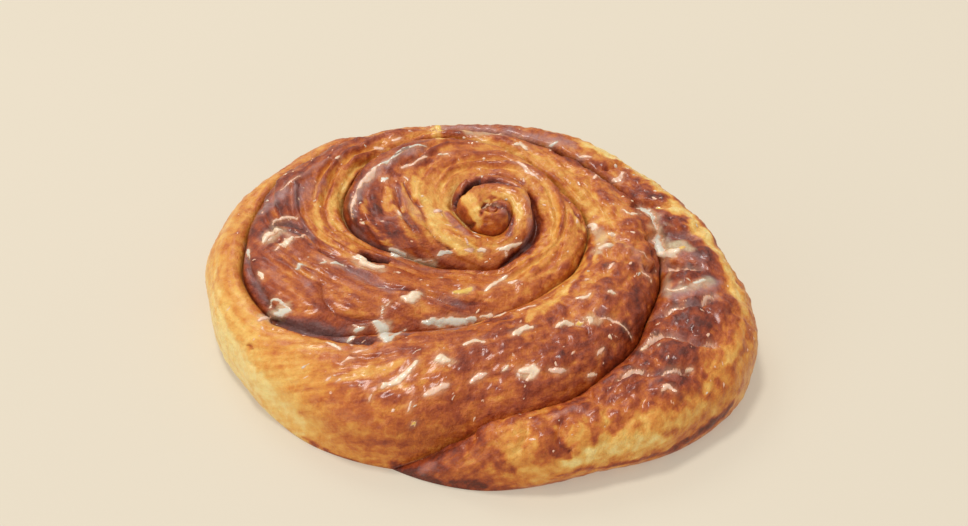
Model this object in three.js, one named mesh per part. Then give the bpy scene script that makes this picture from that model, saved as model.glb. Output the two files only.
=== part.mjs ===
// Cinnamon roll: one strip of laminated dough rolled up into a flat swirl, with its tail laid against
// the side and tucked under. Units are millimetres, +Z is up and the roll rests on z = 0.
import * as THREE from 'three';
import { mergeVertices } from 'three/addons/utils/BufferGeometryUtils.js';

// The winding angle follows the strip outwards in degrees, clockwise as seen from above. It is 0 at nine
// o'clock of the turn round the core, and every later turn adds 360.
const TURN = 360;
const HOUR = 30;
const EYE_ANGLE = -540; // where the swirl starts, in the eye of the roll
const FIRST_HOUR_ANGLE = -360; // where the table of the groove starts
const TAIL_ANGLE = 1010; // where the last groove runs out on the foot of the roll
const LAST_HOUR_ANGLE = 990; // where the table of the groove ends
const TAIL_DIVE = 1.2; // above 1 the groove dives to the foot more steeply towards its end

// The groove between neighbouring turns: its distance from the eye and its height, one row for each
// turn, at nine o'clock and then at each hour, clockwise.
const GROOVE_RADIUS = [
  [2.5, 2, 2.5, 3, 3.5, 4, 4, 4, 4.5, 4.5, 4.5, 5.5],
  [7, 11, 13.5, 12.5, 11, 9.5, 9, 9, 9.5, 12, 14.5, 20],
  [32, 34.5, 33, 26, 19.5, 18, 20, 21, 22.5, 27, 38, 55.5],
  [53.5, 48, 38.5, 31.5, 29.5, 30, 34.5, 39.5, 48, 55.5],
].flat();
const GROOVE_HEIGHT = [
  [21.5, 22, 22, 22, 22, 21.5, 20.5, 19.5, 18.5, 18, 18, 18.5],
  [19, 20, 21, 21, 20.5, 19.5, 18.5, 17, 16, 15.5, 15.5, 16.5],
  [17.5, 18.5, 19.5, 19.5, 19, 18, 17, 15.5, 14.5, 14, 14, 15],
  [16, 17.5, 18.5, 19.5, 19, 16.5, 14, 12, 10, 8.5],
].flat();
const EYE_TOP = 23.2; // height of the knob in the eye

// The outer wall: its distance from the eye at nine o'clock and then at each hour, clockwise.
const WALL_RADIUS = [63.2, 55.5, 45, 39.5, 41, 43, 49, 64, 67.5, 65.5, 64.2, 64.3];
const WALL_HEIGHT = 8; // where the wall is widest
const WALL_SHARE = 0.45; // the same as a share of the strip's height, on the low tail
const FOOT_TUCK = 2.5; // how far the foot lies inside the wall
const TUCK_FROM_ANGLE = 14; // how far from the tail's tip the foot starts to draw in again
const TUCK_FULL_ANGLE = 45; // how far from the tail's tip it is drawn in fully
const TIP_DENT = 2.2; // how far the outline dips where the tail's tip ends on it
const TIP_DENT_ANGLE = 22; // how far the dip reaches to each side of the tip

// The strip's section along the winding angle: the crest's rise above the groove on its inner side, its
// place between that groove (0) and the strip's outer side (1), and the form of the flanks inside and
// outside the crest, from boxy (below 1) over round (1) to a straight slope (2).
const SECTIONS = [
  { angle: -540, rise: 0, place: 0.5, inside: 1, outside: 1 },
  { angle: -180, rise: 0.6, place: 0.5, inside: 1, outside: 1 },
  { angle: 0, rise: 2.2, place: 0.5, inside: 1, outside: 0.9 },
  { angle: 180, rise: 2, place: 0.5, inside: 1, outside: 0.9 },
  { angle: 270, rise: 1.2, place: 0.35, inside: 1, outside: 1.3 },
  { angle: 360, rise: 3.4, place: 0.8, inside: 1.5, outside: 0.9 },
  { angle: 450, rise: 1.6, place: 0.7, inside: 1.4, outside: 0.9 },
  { angle: 540, rise: 2.2, place: 0.6, inside: 1.2, outside: 1 },
  { angle: 630, rise: 1.6, place: 0.5, inside: 1.2, outside: 1.2 },
  { angle: 690, rise: 3.2, place: 0.7, inside: 1.3, outside: 1 },
  { angle: 735, rise: 3.4, place: 0.65, inside: 1.3, outside: 0.9 },
  { angle: 810, rise: 1.4, place: 0.55, inside: 1, outside: 0.9 },
  { angle: 900, rise: 3.6, place: 0.62, inside: 1.2, outside: 0.9 },
  { angle: 945, rise: 4.6, place: 0.5, inside: 1.1, outside: 0.95 },
  { angle: 1010, rise: 4.3, place: 0.32, inside: 1, outside: 1.05 },
  { angle: 1050, rise: 1.5, place: 0.3, inside: 0.9, outside: 1 },
  { angle: 1110, rise: 0.8, place: 0.2, inside: 0.9, outside: 1 },
  { angle: 1170, rise: 1, place: 0.22, inside: 0.9, outside: 1 },
  { angle: 1215, rise: 1.8, place: 0.3, inside: 0.9, outside: 1 },
  { angle: 1260, rise: 4.6, place: 0.45, inside: 0.9, outside: 0.95 },
  { angle: 1300, rise: 6, place: 0.42, inside: 0.9, outside: 0.95 },
  { angle: 1345, rise: 4.4, place: 0.4, inside: 0.9, outside: 1 },
  { angle: 1370, rise: 0, place: 0.4, inside: 1, outside: 1 },
];

// Relief of the baked crust: shallow blisters, and ledges where the dough's layers end on the slope
// that faces the eye.
const BLISTER_HEIGHT = 0.45;
const BLISTER_LENGTHS = [13, 9]; // the blisters' spacing, coarse and fine
const LEDGE_HEIGHT = 0.8;
const LEDGES_ACROSS = 2;
const LEDGE_FIRST_ANGLE = 330;
const LEDGE_LAST_ANGLE = 800;
const RELIEF_FADE_INSIDE = 0.2; // shares of the strip's width over which the relief fades in
const RELIEF_FADE_OUTSIDE = 0.45;

// How finely the surface is divided.
const COLUMN_STEP = 3.6;
const SMALLEST_COLUMN_RADIUS = 8;
const ROWS = 18;
const SECTION_STEPS = 24;

const CRUST_COLOR = 0xb9692f;
const CRUST_ROUGHNESS = 0.45;

const clamp = THREE.MathUtils.clamp;
const lerp = THREE.MathUtils.lerp;
const smoothstep = THREE.MathUtils.smoothstep;

// Smooth curve through evenly spaced values, read at a place counted in values.
function alongValues(values, place, valueAt) {
  const index = Math.floor(place);
  const share = place - index;
  const before = valueAt(values, index - 1);
  const start = valueAt(values, index);
  const end = valueAt(values, index + 1);
  const after = valueAt(values, index + 2);
  const slope = end - before;
  const bend = 2 * before - 5 * start + 4 * end - after;
  const twist = 3 * (start - end) + after - before;
  return start + 0.5 * share * (slope + share * (bend + share * twist));
}

function endedValue(values, index) {
  return values[clamp(index, 0, values.length - 1)];
}

function roundValue(values, index) {
  return values[((index % values.length) + values.length) % values.length];
}

function shapeAt(angle) {
  const next = clamp(SECTIONS.findLastIndex((row) => row.angle <= angle) + 1, 1, SECTIONS.length - 1);
  const from = SECTIONS[next - 1];
  const to = SECTIONS[next];
  const share = smoothstep(angle, from.angle, to.angle);
  return {
    rise: lerp(from.rise, to.rise, share),
    place: lerp(from.place, to.place, share),
    inside: lerp(from.inside, to.inside, share),
    outside: lerp(from.outside, to.outside, share),
  };
}

// How far a direction lies from the tail's tip, in degrees.
function fromTip(angle) {
  const turned = (((angle - TAIL_ANGLE) % TURN) + TURN) % TURN;
  return Math.min(turned, TURN - turned);
}

// How far the foot draws in under the wall: nothing near the tail's tip, where the tail lies on the wall.
function tuckAt(angle) {
  return FOOT_TUCK * smoothstep(fromTip(angle), TUCK_FROM_ANGLE, TUCK_FULL_ANGLE);
}

function footAt(angle) {
  const wall = alongValues(WALL_RADIUS, angle / HOUR, roundValue);
  const dent = TIP_DENT * Math.max(0, 1 - fromTip(angle) / TIP_DENT_ANGLE) ** 2;
  return { r: wall - dent - tuckAt(angle), z: 0 };
}

function grooveAt(angle) {
  if (angle <= EYE_ANGLE) {
    return { r: 0, z: EYE_TOP };
  }
  if (angle < FIRST_HOUR_ANGLE) {
    const share = (angle - EYE_ANGLE) / (FIRST_HOUR_ANGLE - EYE_ANGLE);
    return { r: share * GROOVE_RADIUS[0], z: lerp(EYE_TOP, GROOVE_HEIGHT[0], share) };
  }
  if (angle > LAST_HOUR_ANGLE) {
    const share = ((angle - LAST_HOUR_ANGLE) / (TAIL_ANGLE - LAST_HOUR_ANGLE)) ** TAIL_DIVE;
    const last = GROOVE_RADIUS.length - 1;
    const foot = footAt(TAIL_ANGLE);
    return { r: lerp(GROOVE_RADIUS[last], foot.r, share), z: lerp(GROOVE_HEIGHT[last], 0, share) };
  }
  const place = (angle - FIRST_HOUR_ANGLE) / HOUR;
  return {
    r: alongValues(GROOVE_RADIUS, place, endedValue),
    z: alongValues(GROOVE_HEIGHT, place, endedValue),
  };
}

// Quarter of the section between two points: it leaves the first one level and reaches the second one
// upright.
function flank(level, upright, share, form) {
  const turn = (share * Math.PI) / 2;
  return {
    r: lerp(level.r, upright.r, Math.sin(turn) ** form),
    z: lerp(upright.z, level.z, Math.cos(turn) ** form),
  };
}

// The strip's section from its inner groove over the crest to its outer groove, or to the foot.
function sectionAt(angle) {
  const inner = grooveAt(angle - TURN);
  const outer = angle < TAIL_ANGLE ? grooveAt(angle) : footAt(angle);
  const { rise, place, inside, outside } = shapeAt(angle);
  const top = inner.z + rise;
  const widest = Math.max(outer.z, Math.min(WALL_HEIGHT, WALL_SHARE * top));
  const wall = { r: outer.r + (tuckAt(angle) * (widest - outer.z)) / WALL_HEIGHT, z: widest };
  const crest = { r: lerp(inner.r, wall.r, place), z: top };
  const points = [];
  for (let i = 0; i < SECTION_STEPS; i += 1) {
    points.push(flank(crest, inner, 1 - i / SECTION_STEPS, inside));
  }
  for (let i = 0; i < SECTION_STEPS; i += 1) {
    points.push(flank(crest, wall, i / SECTION_STEPS, outside));
  }
  for (let i = 0; i <= SECTION_STEPS; i += 1) {
    const turn = ((i / SECTION_STEPS) * Math.PI) / 2;
    points.push({ r: lerp(outer.r, wall.r, Math.cos(turn)), z: lerp(wall.z, outer.z, Math.sin(turn)) });
  }
  return points;
}

// The same section cut into rows of equal length, and the section's whole length.
function evenSection(angle) {
  const points = sectionAt(angle);
  const lengths = [0];
  for (let i = 1; i < points.length; i += 1) {
    const step = Math.hypot(points[i].r - points[i - 1].r, points[i].z - points[i - 1].z);
    lengths.push(lengths[i - 1] + step);
  }
  const total = lengths[lengths.length - 1];
  const even = [];
  let i = 0;
  for (let row = 0; row <= ROWS; row += 1) {
    const length = (total * row) / ROWS;
    while (i < points.length - 2 && lengths[i + 1] < length) {
      i += 1;
    }
    const step = lengths[i + 1] - lengths[i];
    const share = step > 0 ? clamp((length - lengths[i]) / step, 0, 1) : 0;
    even.push({
      r: lerp(points[i].r, points[i + 1].r, share),
      z: lerp(points[i].z, points[i + 1].z, share),
    });
  }
  return { points: even, length: total };
}

// Height of the crust's relief above the plain section, at a share of the way across the strip.
function reliefAt(angle, share, point, azimuth, sectionLength) {
  const x = point.r * Math.cos(azimuth);
  const y = point.r * Math.sin(azimuth);
  const blisters = BLISTER_LENGTHS.reduce((sum, length, k) => {
    const turn = (2 * Math.PI) / length;
    const across = Math.sin(turn * (x + k * y) + k) + Math.sin(turn * (y - k * x) + 2 * k);
    return sum + across / (2 + 2 * k);
  }, 0);
  const layered =
    smoothstep(angle, LEDGE_FIRST_ANGLE, LEDGE_FIRST_ANGLE + HOUR) *
    smoothstep(LEDGE_LAST_ANGLE - angle, 0, HOUR);
  const ledge = (share * 2 * LEDGES_ACROSS) % 1;
  const ledges = share < 0.5 ? layered * LEDGE_HEIGHT * (ledge - 0.5) : 0;
  const edges = smoothstep(share, 0, RELIEF_FADE_INSIDE) * smoothstep(1 - share, 0, RELIEF_FADE_OUTSIDE);
  const size = Math.min(1, sectionLength / (2 * BLISTER_LENGTHS[0]));
  return edges * size * (BLISTER_HEIGHT * blisters + ledges);
}

// One column of surface points across the strip.
function columnAt(angle) {
  const { points, length } = evenSection(angle);
  const azimuth = Math.PI - THREE.MathUtils.degToRad(angle);
  return points.map((point, row) => {
    const before = points[Math.max(row - 1, 0)];
    const after = points[Math.min(row + 1, ROWS)];
    const step = Math.hypot(after.r - before.r, after.z - before.z) || 1;
    const relief = reliefAt(angle, row / ROWS, point, azimuth, length);
    const r = point.r + (relief * (before.z - after.z)) / step;
    const z = point.z + (relief * (after.r - before.r)) / step;
    return new THREE.Vector3(r * Math.cos(azimuth), r * Math.sin(azimuth), z);
  });
}

// Winding angles from one to another, about COLUMN_STEP apart on the surface.
function columnAngles(from, to) {
  const lengths = [0];
  for (let angle = from; angle < to; angle += 1) {
    const middle = (grooveAt(angle - TURN).r + grooveAt(Math.min(angle, TAIL_ANGLE)).r) / 2;
    const radius = Math.max(middle, SMALLEST_COLUMN_RADIUS);
    lengths.push(lengths[lengths.length - 1] + THREE.MathUtils.degToRad(radius));
  }
  const total = lengths[lengths.length - 1];
  const count = Math.ceil(total / COLUMN_STEP);
  const angles = [];
  let i = 0;
  for (let k = 0; k < count; k += 1) {
    const length = (total * k) / count;
    while (lengths[i + 1] < length) {
      i += 1;
    }
    angles.push(from + i + (length - lengths[i]) / (lengths[i + 1] - lengths[i]));
  }
  return angles;
}

// Triangles between two rows of points that run side by side, each row with its own angles.
function zipRows(first, second, addTriangle) {
  let i = 0;
  let j = 0;
  while (i < first.length - 1 || j < second.length - 1) {
    const firstIsNext = j === second.length - 1 ||
      (i < first.length - 1 && first[i + 1].angle <= second[j + 1].angle);
    if (firstIsNext) {
      addTriangle(first[i].vertex, first[i + 1].vertex, second[j].vertex);
      i += 1;
    } else {
      addTriangle(first[i].vertex, second[j + 1].vertex, second[j].vertex);
      j += 1;
    }
  }
}

function rollGeometry() {
  const innerAngle = EYE_ANGLE + TURN;
  const endAngle = TAIL_ANGLE + TURN;
  const angles = [
    ...columnAngles(EYE_ANGLE, innerAngle),
    ...columnAngles(innerAngle, TAIL_ANGLE),
    ...columnAngles(TAIL_ANGLE, endAngle),
    endAngle,
  ];
  const vertices = angles.flatMap((angle) => columnAt(angle));
  const vertexOf = (column, row) => column * (ROWS + 1) + row;
  const triangles = [];
  const addTriangle = (a, b, c) => triangles.push([a, b, c]);
  const addQuad = (column, row) => {
    addTriangle(vertexOf(column, row), vertexOf(column + 1, row), vertexOf(column + 1, row + 1));
    addTriangle(vertexOf(column, row), vertexOf(column + 1, row + 1), vertexOf(column, row + 1));
  };
  for (let column = 0; column < angles.length - 1; column += 1) {
    const lastRow = angles[column] < TAIL_ANGLE ? ROWS - 1 : ROWS;
    for (let row = 0; row < lastRow; row += 1) {
      addQuad(column, row);
    }
  }

  // Each turn's last free row meets the first row of the turn outside it.
  const places = angles.map((angle, column) => ({ angle, column }));
  const outerRow = places
    .filter(({ angle }) => angle <= TAIL_ANGLE)
    .map(({ angle, column }) => ({ angle, vertex: vertexOf(column, ROWS - 1) }));
  const innerRow = places
    .filter(({ angle }) => angle >= innerAngle)
    .map(({ angle, column }) => ({ angle: angle - TURN, vertex: vertexOf(column, 0) }));
  zipRows(outerRow, innerRow, addTriangle);

  // The flat base inside the foot.
  const foot = places
    .filter(({ angle }) => angle >= TAIL_ANGLE)
    .map(({ column }) => vertexOf(column, ROWS));
  const middle = foot.reduce((sum, vertex) => sum.add(vertices[vertex]), new THREE.Vector3());
  vertices.push(middle.divideScalar(foot.length).setZ(0));
  for (let i = 0; i < foot.length - 1; i += 1) {
    addTriangle(vertices.length - 1, foot[i], foot[i + 1]);
  }

  const geometry = new THREE.BufferGeometry();
  geometry.setAttribute('position', new THREE.Float32BufferAttribute(vertices.flatMap((v) => [...v]), 3));
  geometry.setIndex(triangles.flat());
  return withoutFlatTriangles(mergeVertices(geometry, 1e-4));
}

// Drops the triangles that have lost a side where a column closes to one point.
function withoutFlatTriangles(geometry) {
  const index = geometry.getIndex().array;
  const kept = [];
  for (let i = 0; i < index.length; i += 3) {
    const [a, b, c] = [index[i], index[i + 1], index[i + 2]];
    if (a !== b && b !== c && c !== a) {
      kept.push(a, b, c);
    }
  }
  geometry.setIndex(kept);
  return geometry;
}

// The roll stands on the origin, in the middle of its own width and depth.
function standOnOrigin(geometry) {
  geometry.computeBoundingBox();
  const middle = geometry.boundingBox.getCenter(new THREE.Vector3());
  geometry.translate(-middle.x, -middle.y, 0);
  geometry.computeVertexNormals();
  return geometry;
}

function cinnamonRoll() {
  const crust = new THREE.MeshStandardMaterial({
    color: CRUST_COLOR,
    roughness: CRUST_ROUGHNESS,
    metalness: 0,
  });
  const roll = new THREE.Mesh(standOnOrigin(rollGeometry()), crust);
  roll.name = 'roll';
  const group = new THREE.Group();
  group.add(roll);
  return group;
}

export default cinnamonRoll();
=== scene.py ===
"""Cinnamon roll: the browned, laminated crust and its sugar glaze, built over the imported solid.

The crust's form comes from the same named sizes as the solid: one strip of dough that winds outwards
clockwise, as seen from above, with its tail laid against the side. On that form come the ledges where
the dough's layers end, the blisters of the crust, its browning and the glaze. Sizes are millimetres
until the meshes are made, which are in metres.
"""
import math

import bpy
import numpy as np
from mathutils import Matrix, Vector

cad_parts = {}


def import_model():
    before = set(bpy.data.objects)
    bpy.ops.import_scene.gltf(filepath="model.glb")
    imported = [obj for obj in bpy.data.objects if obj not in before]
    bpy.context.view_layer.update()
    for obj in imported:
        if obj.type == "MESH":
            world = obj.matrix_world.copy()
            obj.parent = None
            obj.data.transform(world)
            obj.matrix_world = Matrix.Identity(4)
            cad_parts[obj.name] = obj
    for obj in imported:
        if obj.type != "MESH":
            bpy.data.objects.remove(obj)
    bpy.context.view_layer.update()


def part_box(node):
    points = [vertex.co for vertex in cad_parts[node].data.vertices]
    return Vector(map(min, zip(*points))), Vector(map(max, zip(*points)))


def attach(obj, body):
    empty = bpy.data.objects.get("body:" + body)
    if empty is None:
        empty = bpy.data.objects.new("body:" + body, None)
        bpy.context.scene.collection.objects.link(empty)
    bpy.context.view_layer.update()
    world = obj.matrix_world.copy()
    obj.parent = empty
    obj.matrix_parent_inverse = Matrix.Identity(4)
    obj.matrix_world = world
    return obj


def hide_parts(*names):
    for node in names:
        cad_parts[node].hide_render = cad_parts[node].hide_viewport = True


MM = 0.001

# ---- The strip's form, in the same sizes as the solid's ----
# The winding angle follows the strip outwards in degrees. It is 0 at nine o'clock of the turn round the
# core, and every later turn adds 360.
TURN = 360
HOUR = 30
EYE_ANGLE = -540
FIRST_HOUR_ANGLE = -360
TAIL_ANGLE = 1010
LAST_HOUR_ANGLE = 990
END_ANGLE = TAIL_ANGLE + TURN
TAIL_DIVE = 1.2
GROOVE_RADIUS = np.array([
    2.5, 2, 2.5, 3, 3.5, 4, 4, 4, 4.5, 4.5, 4.5, 5.5,
    7, 11, 13.5, 12.5, 11, 9.5, 9, 9, 9.5, 12, 14.5, 20,
    32, 34.5, 33, 26, 19.5, 18, 20, 21, 22.5, 27, 38, 55.5,
    53.5, 48, 38.5, 31.5, 29.5, 30, 34.5, 39.5, 48, 55.5,
])
GROOVE_HEIGHT = np.array([
    21.5, 22, 22, 22, 22, 21.5, 20.5, 19.5, 18.5, 18, 18, 18.5,
    19, 20, 21, 21, 20.5, 19.5, 18.5, 17, 16, 15.5, 15.5, 16.5,
    17.5, 18.5, 19.5, 19.5, 19, 18, 17, 15.5, 14.5, 14, 14, 15,
    16, 17.5, 18.5, 19.5, 19, 16.5, 14, 12, 10, 8.5,
])
EYE_TOP = 23.2
WALL_RADIUS = np.array([63.2, 55.5, 45, 39.5, 41, 43, 49, 64, 67.5, 65.5, 64.2, 64.3])
WALL_HEIGHT = 8
WALL_SHARE = 0.45
FOOT_TUCK = 2.5
TUCK_FROM_ANGLE = 14
TUCK_FULL_ANGLE = 45
TIP_DENT = 2.2
TIP_DENT_ANGLE = 22
# The solid doesn't have these: the photo's foot lies further in than its foot near this angle.
FOOT_DRAWN_IN = 3.2
DRAWN_IN_ANGLE = 1331
DRAWN_IN_SPREAD = 11
# Winding angle, rise of the crest above the inner groove, its place across the strip, and the form of
# the flanks inside and outside it, from boxy (below 1) to a straight slope (2).
SECTIONS = np.array([
    (-540, 0, 0.5, 1, 1),
    (-180, 0.6, 0.5, 1, 1),
    (0, 2.2, 0.5, 1, 0.9),
    (180, 2, 0.5, 1, 0.9),
    (270, 1.2, 0.35, 1, 1.3),
    (360, 3.4, 0.8, 1.5, 0.9),
    (450, 1.6, 0.7, 1.4, 0.9),
    (540, 2.2, 0.6, 1.2, 1),
    (630, 1.6, 0.5, 1.2, 1.2),
    (690, 3.2, 0.7, 1.3, 1),
    (735, 3.4, 0.65, 1.3, 0.9),
    (810, 1.4, 0.55, 1, 0.9),
    (900, 3.6, 0.62, 1.2, 0.9),
    (945, 4.6, 0.5, 1.1, 0.95),
    (1010, 4.3, 0.32, 1, 1.05),
    (1050, 1.5, 0.3, 0.9, 1),
    (1110, 0.8, 0.2, 0.9, 1),
    (1170, 1, 0.22, 0.9, 1),
    (1215, 1.8, 0.3, 0.9, 1),
    (1260, 4.6, 0.45, 0.9, 0.95),
    (1300, 6, 0.42, 0.9, 0.95),
    (1345, 4.4, 0.4, 0.9, 1),
    (1370, 0, 0.4, 1, 1),
])

# ---- How finely the crust is divided ----
COLUMN_STEP = 0.5
SMALLEST_COLUMN_RADIUS = 6
ROWS = 60
SECTION_STEPS = 32
BASE_SPOKES = 300
BASE_RINGS = 34
GLAZE_FINENESS = 2
# Points are merged where they agree to this many decimals of a millimetre.
MERGE_DECIMALS = 4

# ---- Relief of the crust ----
# A pair of lengths is the length along the strip and the one across it.
# The strip drifts out of its plain form, and does so in full from this height above the foot.
DRIFT = 0.6
DRIFT_LENGTH = 11
DRIFT_FULL_HEIGHT = 6
# The relief fades out beside the grooves, over this share of the strip's width, and where it is narrow.
EDGE_FADE = 0.12
FULL_RELIEF_WIDTH = 12
LUMP_LENGTH = 13
LUMP_HEIGHT = 0.5
GRAIN_LENGTH = 1.7
GRAIN_HEIGHT = 0.15
# Each ledge rises over one share of its pitch and falls off over another.
LEDGE_PITCH = 3.3
LEDGE_HEIGHT = 1.1
LEDGE_RISE = 0.7
LEDGE_FALL = 0.2
LEDGE_DRIFT = 0.9
LEDGE_DRIFT_LENGTHS = (28, 9)
LEDGE_WAVER = 0.14
LEDGE_WAVER_LENGTHS = (5, 3)
LEDGE_BREAK_LENGTHS = (12, 4)
UNBROKEN_NOISE = (-0.3, 0.4)
BROKEN_LEDGE_SHARE = 0.05
INNER_FLANK = (-0.7, 0.1)
OUTER_LEDGE_SHARE = 0.35
# Blisters are smooth noise without its sign, cut off at the top and lowered by about its middle.
BLISTER_LENGTHS = (6.5, 3.0, 1.5)
BLISTER_HEIGHTS = (1.4, 0.75, 0.35)
BLISTER_CUT = 0.7
BLISTER_MIDDLE = 0.25
BLISTER_WARP = 0.7
BLISTER_WARP_LENGTH = 3.5
CROWN_FLANK = (-0.9, -0.3)
WALL_FLANK = (0.5, 1.0)
WALL_SMOOTHING = 0.75
GROOVE_DROP = 1.0
GROOVE_WIDTH = 1.0
GROOVE_DROP_SHARE = 0.8
GROOVE_UNEVENNESS = 0.7
GROOVE_UNEVEN_LENGTH = 9
GROOVE_UNEVEN_RANGE = (0.2, 1.4)
GROOVE_END_FADE = 20
# Folds go in along the normal down to this depth, and what is deeper goes straight down.
FOLD_ALONG_NORMAL = 1.2
# Points lower than the first of these heights don't drop, and those above the second drop in full.
DROP_HEIGHTS = (0.5, 4)

# ---- Relief and browning of the base ----
SEAM_DEPTH = 0.9
SEAM_WIDTH = 0.9
PIT_DEPTH = 0.35
PIT_LENGTH = 5
PIT_NOISE = (0.1, 0.8)
FLAT_RIM_SHARE = 0.08
# Below 1 the base's rings lie closer together towards its middle.
RING_CROWDING = 0.85
BASE_BAKE = 0.62
BASE_CLOUDS = 0.12
BASE_CLOUD_LENGTH = 12
PIT_PALER = 0.1
SEAM_DARKER = 0.2

# ---- What is added to the browning ----
STRIPE_BAKE = 0.34
DOME_BAKE = 0.28
CLOUD_BAKE = 0.10
CLOUD_LENGTH = 9
STREAK_BAKE = 0.11
STREAK_LENGTHS = (8, 2)
SPOT_BAKE = 0.07
BLISTERED_SPOT_BAKE = 0.13
SPOT_LENGTH = 1.9
# Folds also darken the browning: painted shade in the creases.
FOLD_SHADE_IN_BAKE = 0.6
# Folds get painted shade where they darken by more than this, and drops get painted shade more and more
# between these depths.
FOLD_SHADE_FROM = 0.25
DARK_DROPS = (0.5, 1.5)

# ---- Edges of the marks ----
# How ragged the edge is, and at how many half widths from the line a mark starts and is whole. A halo's
# last value is below 0, so a halo is never whole.
TONE_EDGE = (0.45, 1.35, 0.5)
FILM_EDGE = (0.5, 1.5, 0.3)
HALO_EDGE = (0.4, 1.4, -0.2)
HALO_REACH = 1.5
HALO_WIDTH = 0.55
HALO_STRENGTH = 0.3
EDGE_NOISE_LENGTH = 2.2
MARK_TAPER = 0.3
TONE_SHARE = 0.85
TONE_WARP = 0.8
TONE_WARP_LENGTH = 3

# Strength of the ledges and the blisters along the winding angle.
LEDGE_STRENGTH = [
    (-540, 0), (-60, 0.3), (120, 0.5), (300, 0.9), (480, 1), (600, 0.8), (690, 0.6),
    (720, 1.1), (780, 1.3), (840, 0.9), (900, 0.35), (1000, 0.35), (1100, 0.3), (1370, 0.3),
]
BLISTER_STRENGTH = [
    (-540, 0.7), (-60, 0.6), (120, 0.4), (300, 0.4), (600, 0.5), (700, 0.3), (840, 0.7), (900, 1),
    (990, 0.7), (1025, 0.25), (1080, 0.15), (1140, 0.3), (1200, 0.45), (1240, 0.9), (1330, 1),
    (1370, 0.6),
]

# How deep the grooves are and how dark their painted shade is, along their winding angle. Below 0 they
# raise the eye's tip.
GROOVE_STRENGTH = [
    (-540, -0.8), (-300, -0.6), (-150, -0.1), (0, 0.3), (45, 0.5), (180, 0.4), (270, 0.15), (340, 0.7),
    (380, 0.8), (450, 0.4), (540, 0.6), (630, 0.4), (700, 0.7), (740, 0.7), (810, 0.5), (900, 1.1),
    (1010, 0.8),
]

# How far the crust is baked, from pale (0) to dark (1), along the winding angle and across the strip: in
# the inner groove, on the inner flank, on the crest, on the outer flank, at the wall and at the foot.
BAKE_PLACES = (-1, -0.5, 0, 0.5, 1, 2)
BAKE = np.array([
    (-540, 0.60, 0.60, 0.68, 0.68, 0.74, 0.70),
    (-180, 0.61, 0.61, 0.72, 0.68, 0.72, 0.68),
    (0, 0.35, 0.25, 0.42, 0.60, 0.70, 0.70),
    (90, 0.60, 0.52, 0.52, 0.55, 0.60, 0.60),
    (180, 0.60, 0.50, 0.48, 0.40, 0.55, 0.60),
    (270, 0.48, 0.42, 0.45, 0.54, 0.64, 0.66),
    (330, 0.30, 0.28, 0.56, 0.68, 0.72, 0.80),
    (360, 0.20, 0.42, 0.82, 0.86, 0.80, 0.80),
    (400, 0.35, 0.46, 0.64, 0.72, 0.66, 0.70),
    (450, 0.52, 0.48, 0.52, 0.55, 0.60, 0.60),
    (540, 0.54, 0.42, 0.44, 0.52, 0.62, 0.60),
    (630, 0.58, 0.53, 0.54, 0.56, 0.62, 0.66),
    (690, 0.67, 0.63, 0.65, 0.70, 0.84, 0.80),
    (725, 0.34, 0.52, 0.82, 0.84, 0.80, 0.72),
    (760, 0.38, 0.50, 0.70, 0.76, 0.72, 0.60),
    (810, 0.44, 0.37, 0.45, 0.52, 0.58, 0.56),
    (860, 0.38, 0.40, 0.56, 0.70, 0.76, 0.60),
    (900, 0.36, 0.44, 0.62, 0.74, 0.76, 0.70),
    (950, 0.40, 0.50, 0.62, 0.74, 0.78, 0.74),
    (990, 0.48, 0.60, 0.70, 0.69, 0.65, 0.67),
    (1015, 0.50, 0.60, 0.64, 0.58, 0.52, 0.46),
    (1040, 0.45, 0.44, 0.42, 0.30, 0.12, 0.06),
    (1056, 0.44, 0.40, 0.31, 0.18, 0.03, 0.0),
    (1085, 0.46, 0.45, 0.43, 0.36, 0.27, 0.10),
    (1130, 0.52, 0.52, 0.52, 0.48, 0.38, 0.34),
    (1170, 0.54, 0.60, 0.70, 0.38, 0.14, 0.16),
    (1215, 0.54, 0.58, 0.60, 0.24, 0.0, 0.06),
    (1260, 0.64, 0.76, 0.84, 0.62, 0.24, 0.28),
    (1310, 0.66, 0.80, 0.82, 0.62, 0.42, 0.54),
    (1345, 0.70, 0.64, 0.58, 0.50, 0.36, 0.60),
    (1370, 0.80, 0.86, 0.90, 0.90, 0.92, 0.95),
])

# ---- Camera ----
PHOTO_WIDTH = 968
PHOTO_HEIGHT = 526
CAMERA_ELEVATION = 40
CAMERA_LENS = 100
CAMERA_SENSOR = 36
PIXELS_PER_MM = 4.575
EYE_IN_VIEW = (2.84, 15.57)  # the eye of the swirl from the point that the camera is set out from, mm
AIM_PIXEL = (482, 335)  # where that point is seen in the photo
# The view is divided into cells of so many pixels. A point is seen where it lies no further than this
# behind the nearest one of its cell.
CELL_PIXELS = 4
CELLS_IN_ROW = 1000
SEEN_DEPTH = 3
# Points of a mark's line are so far apart, in millimetres.
LINE_STEP = 0.3
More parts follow.
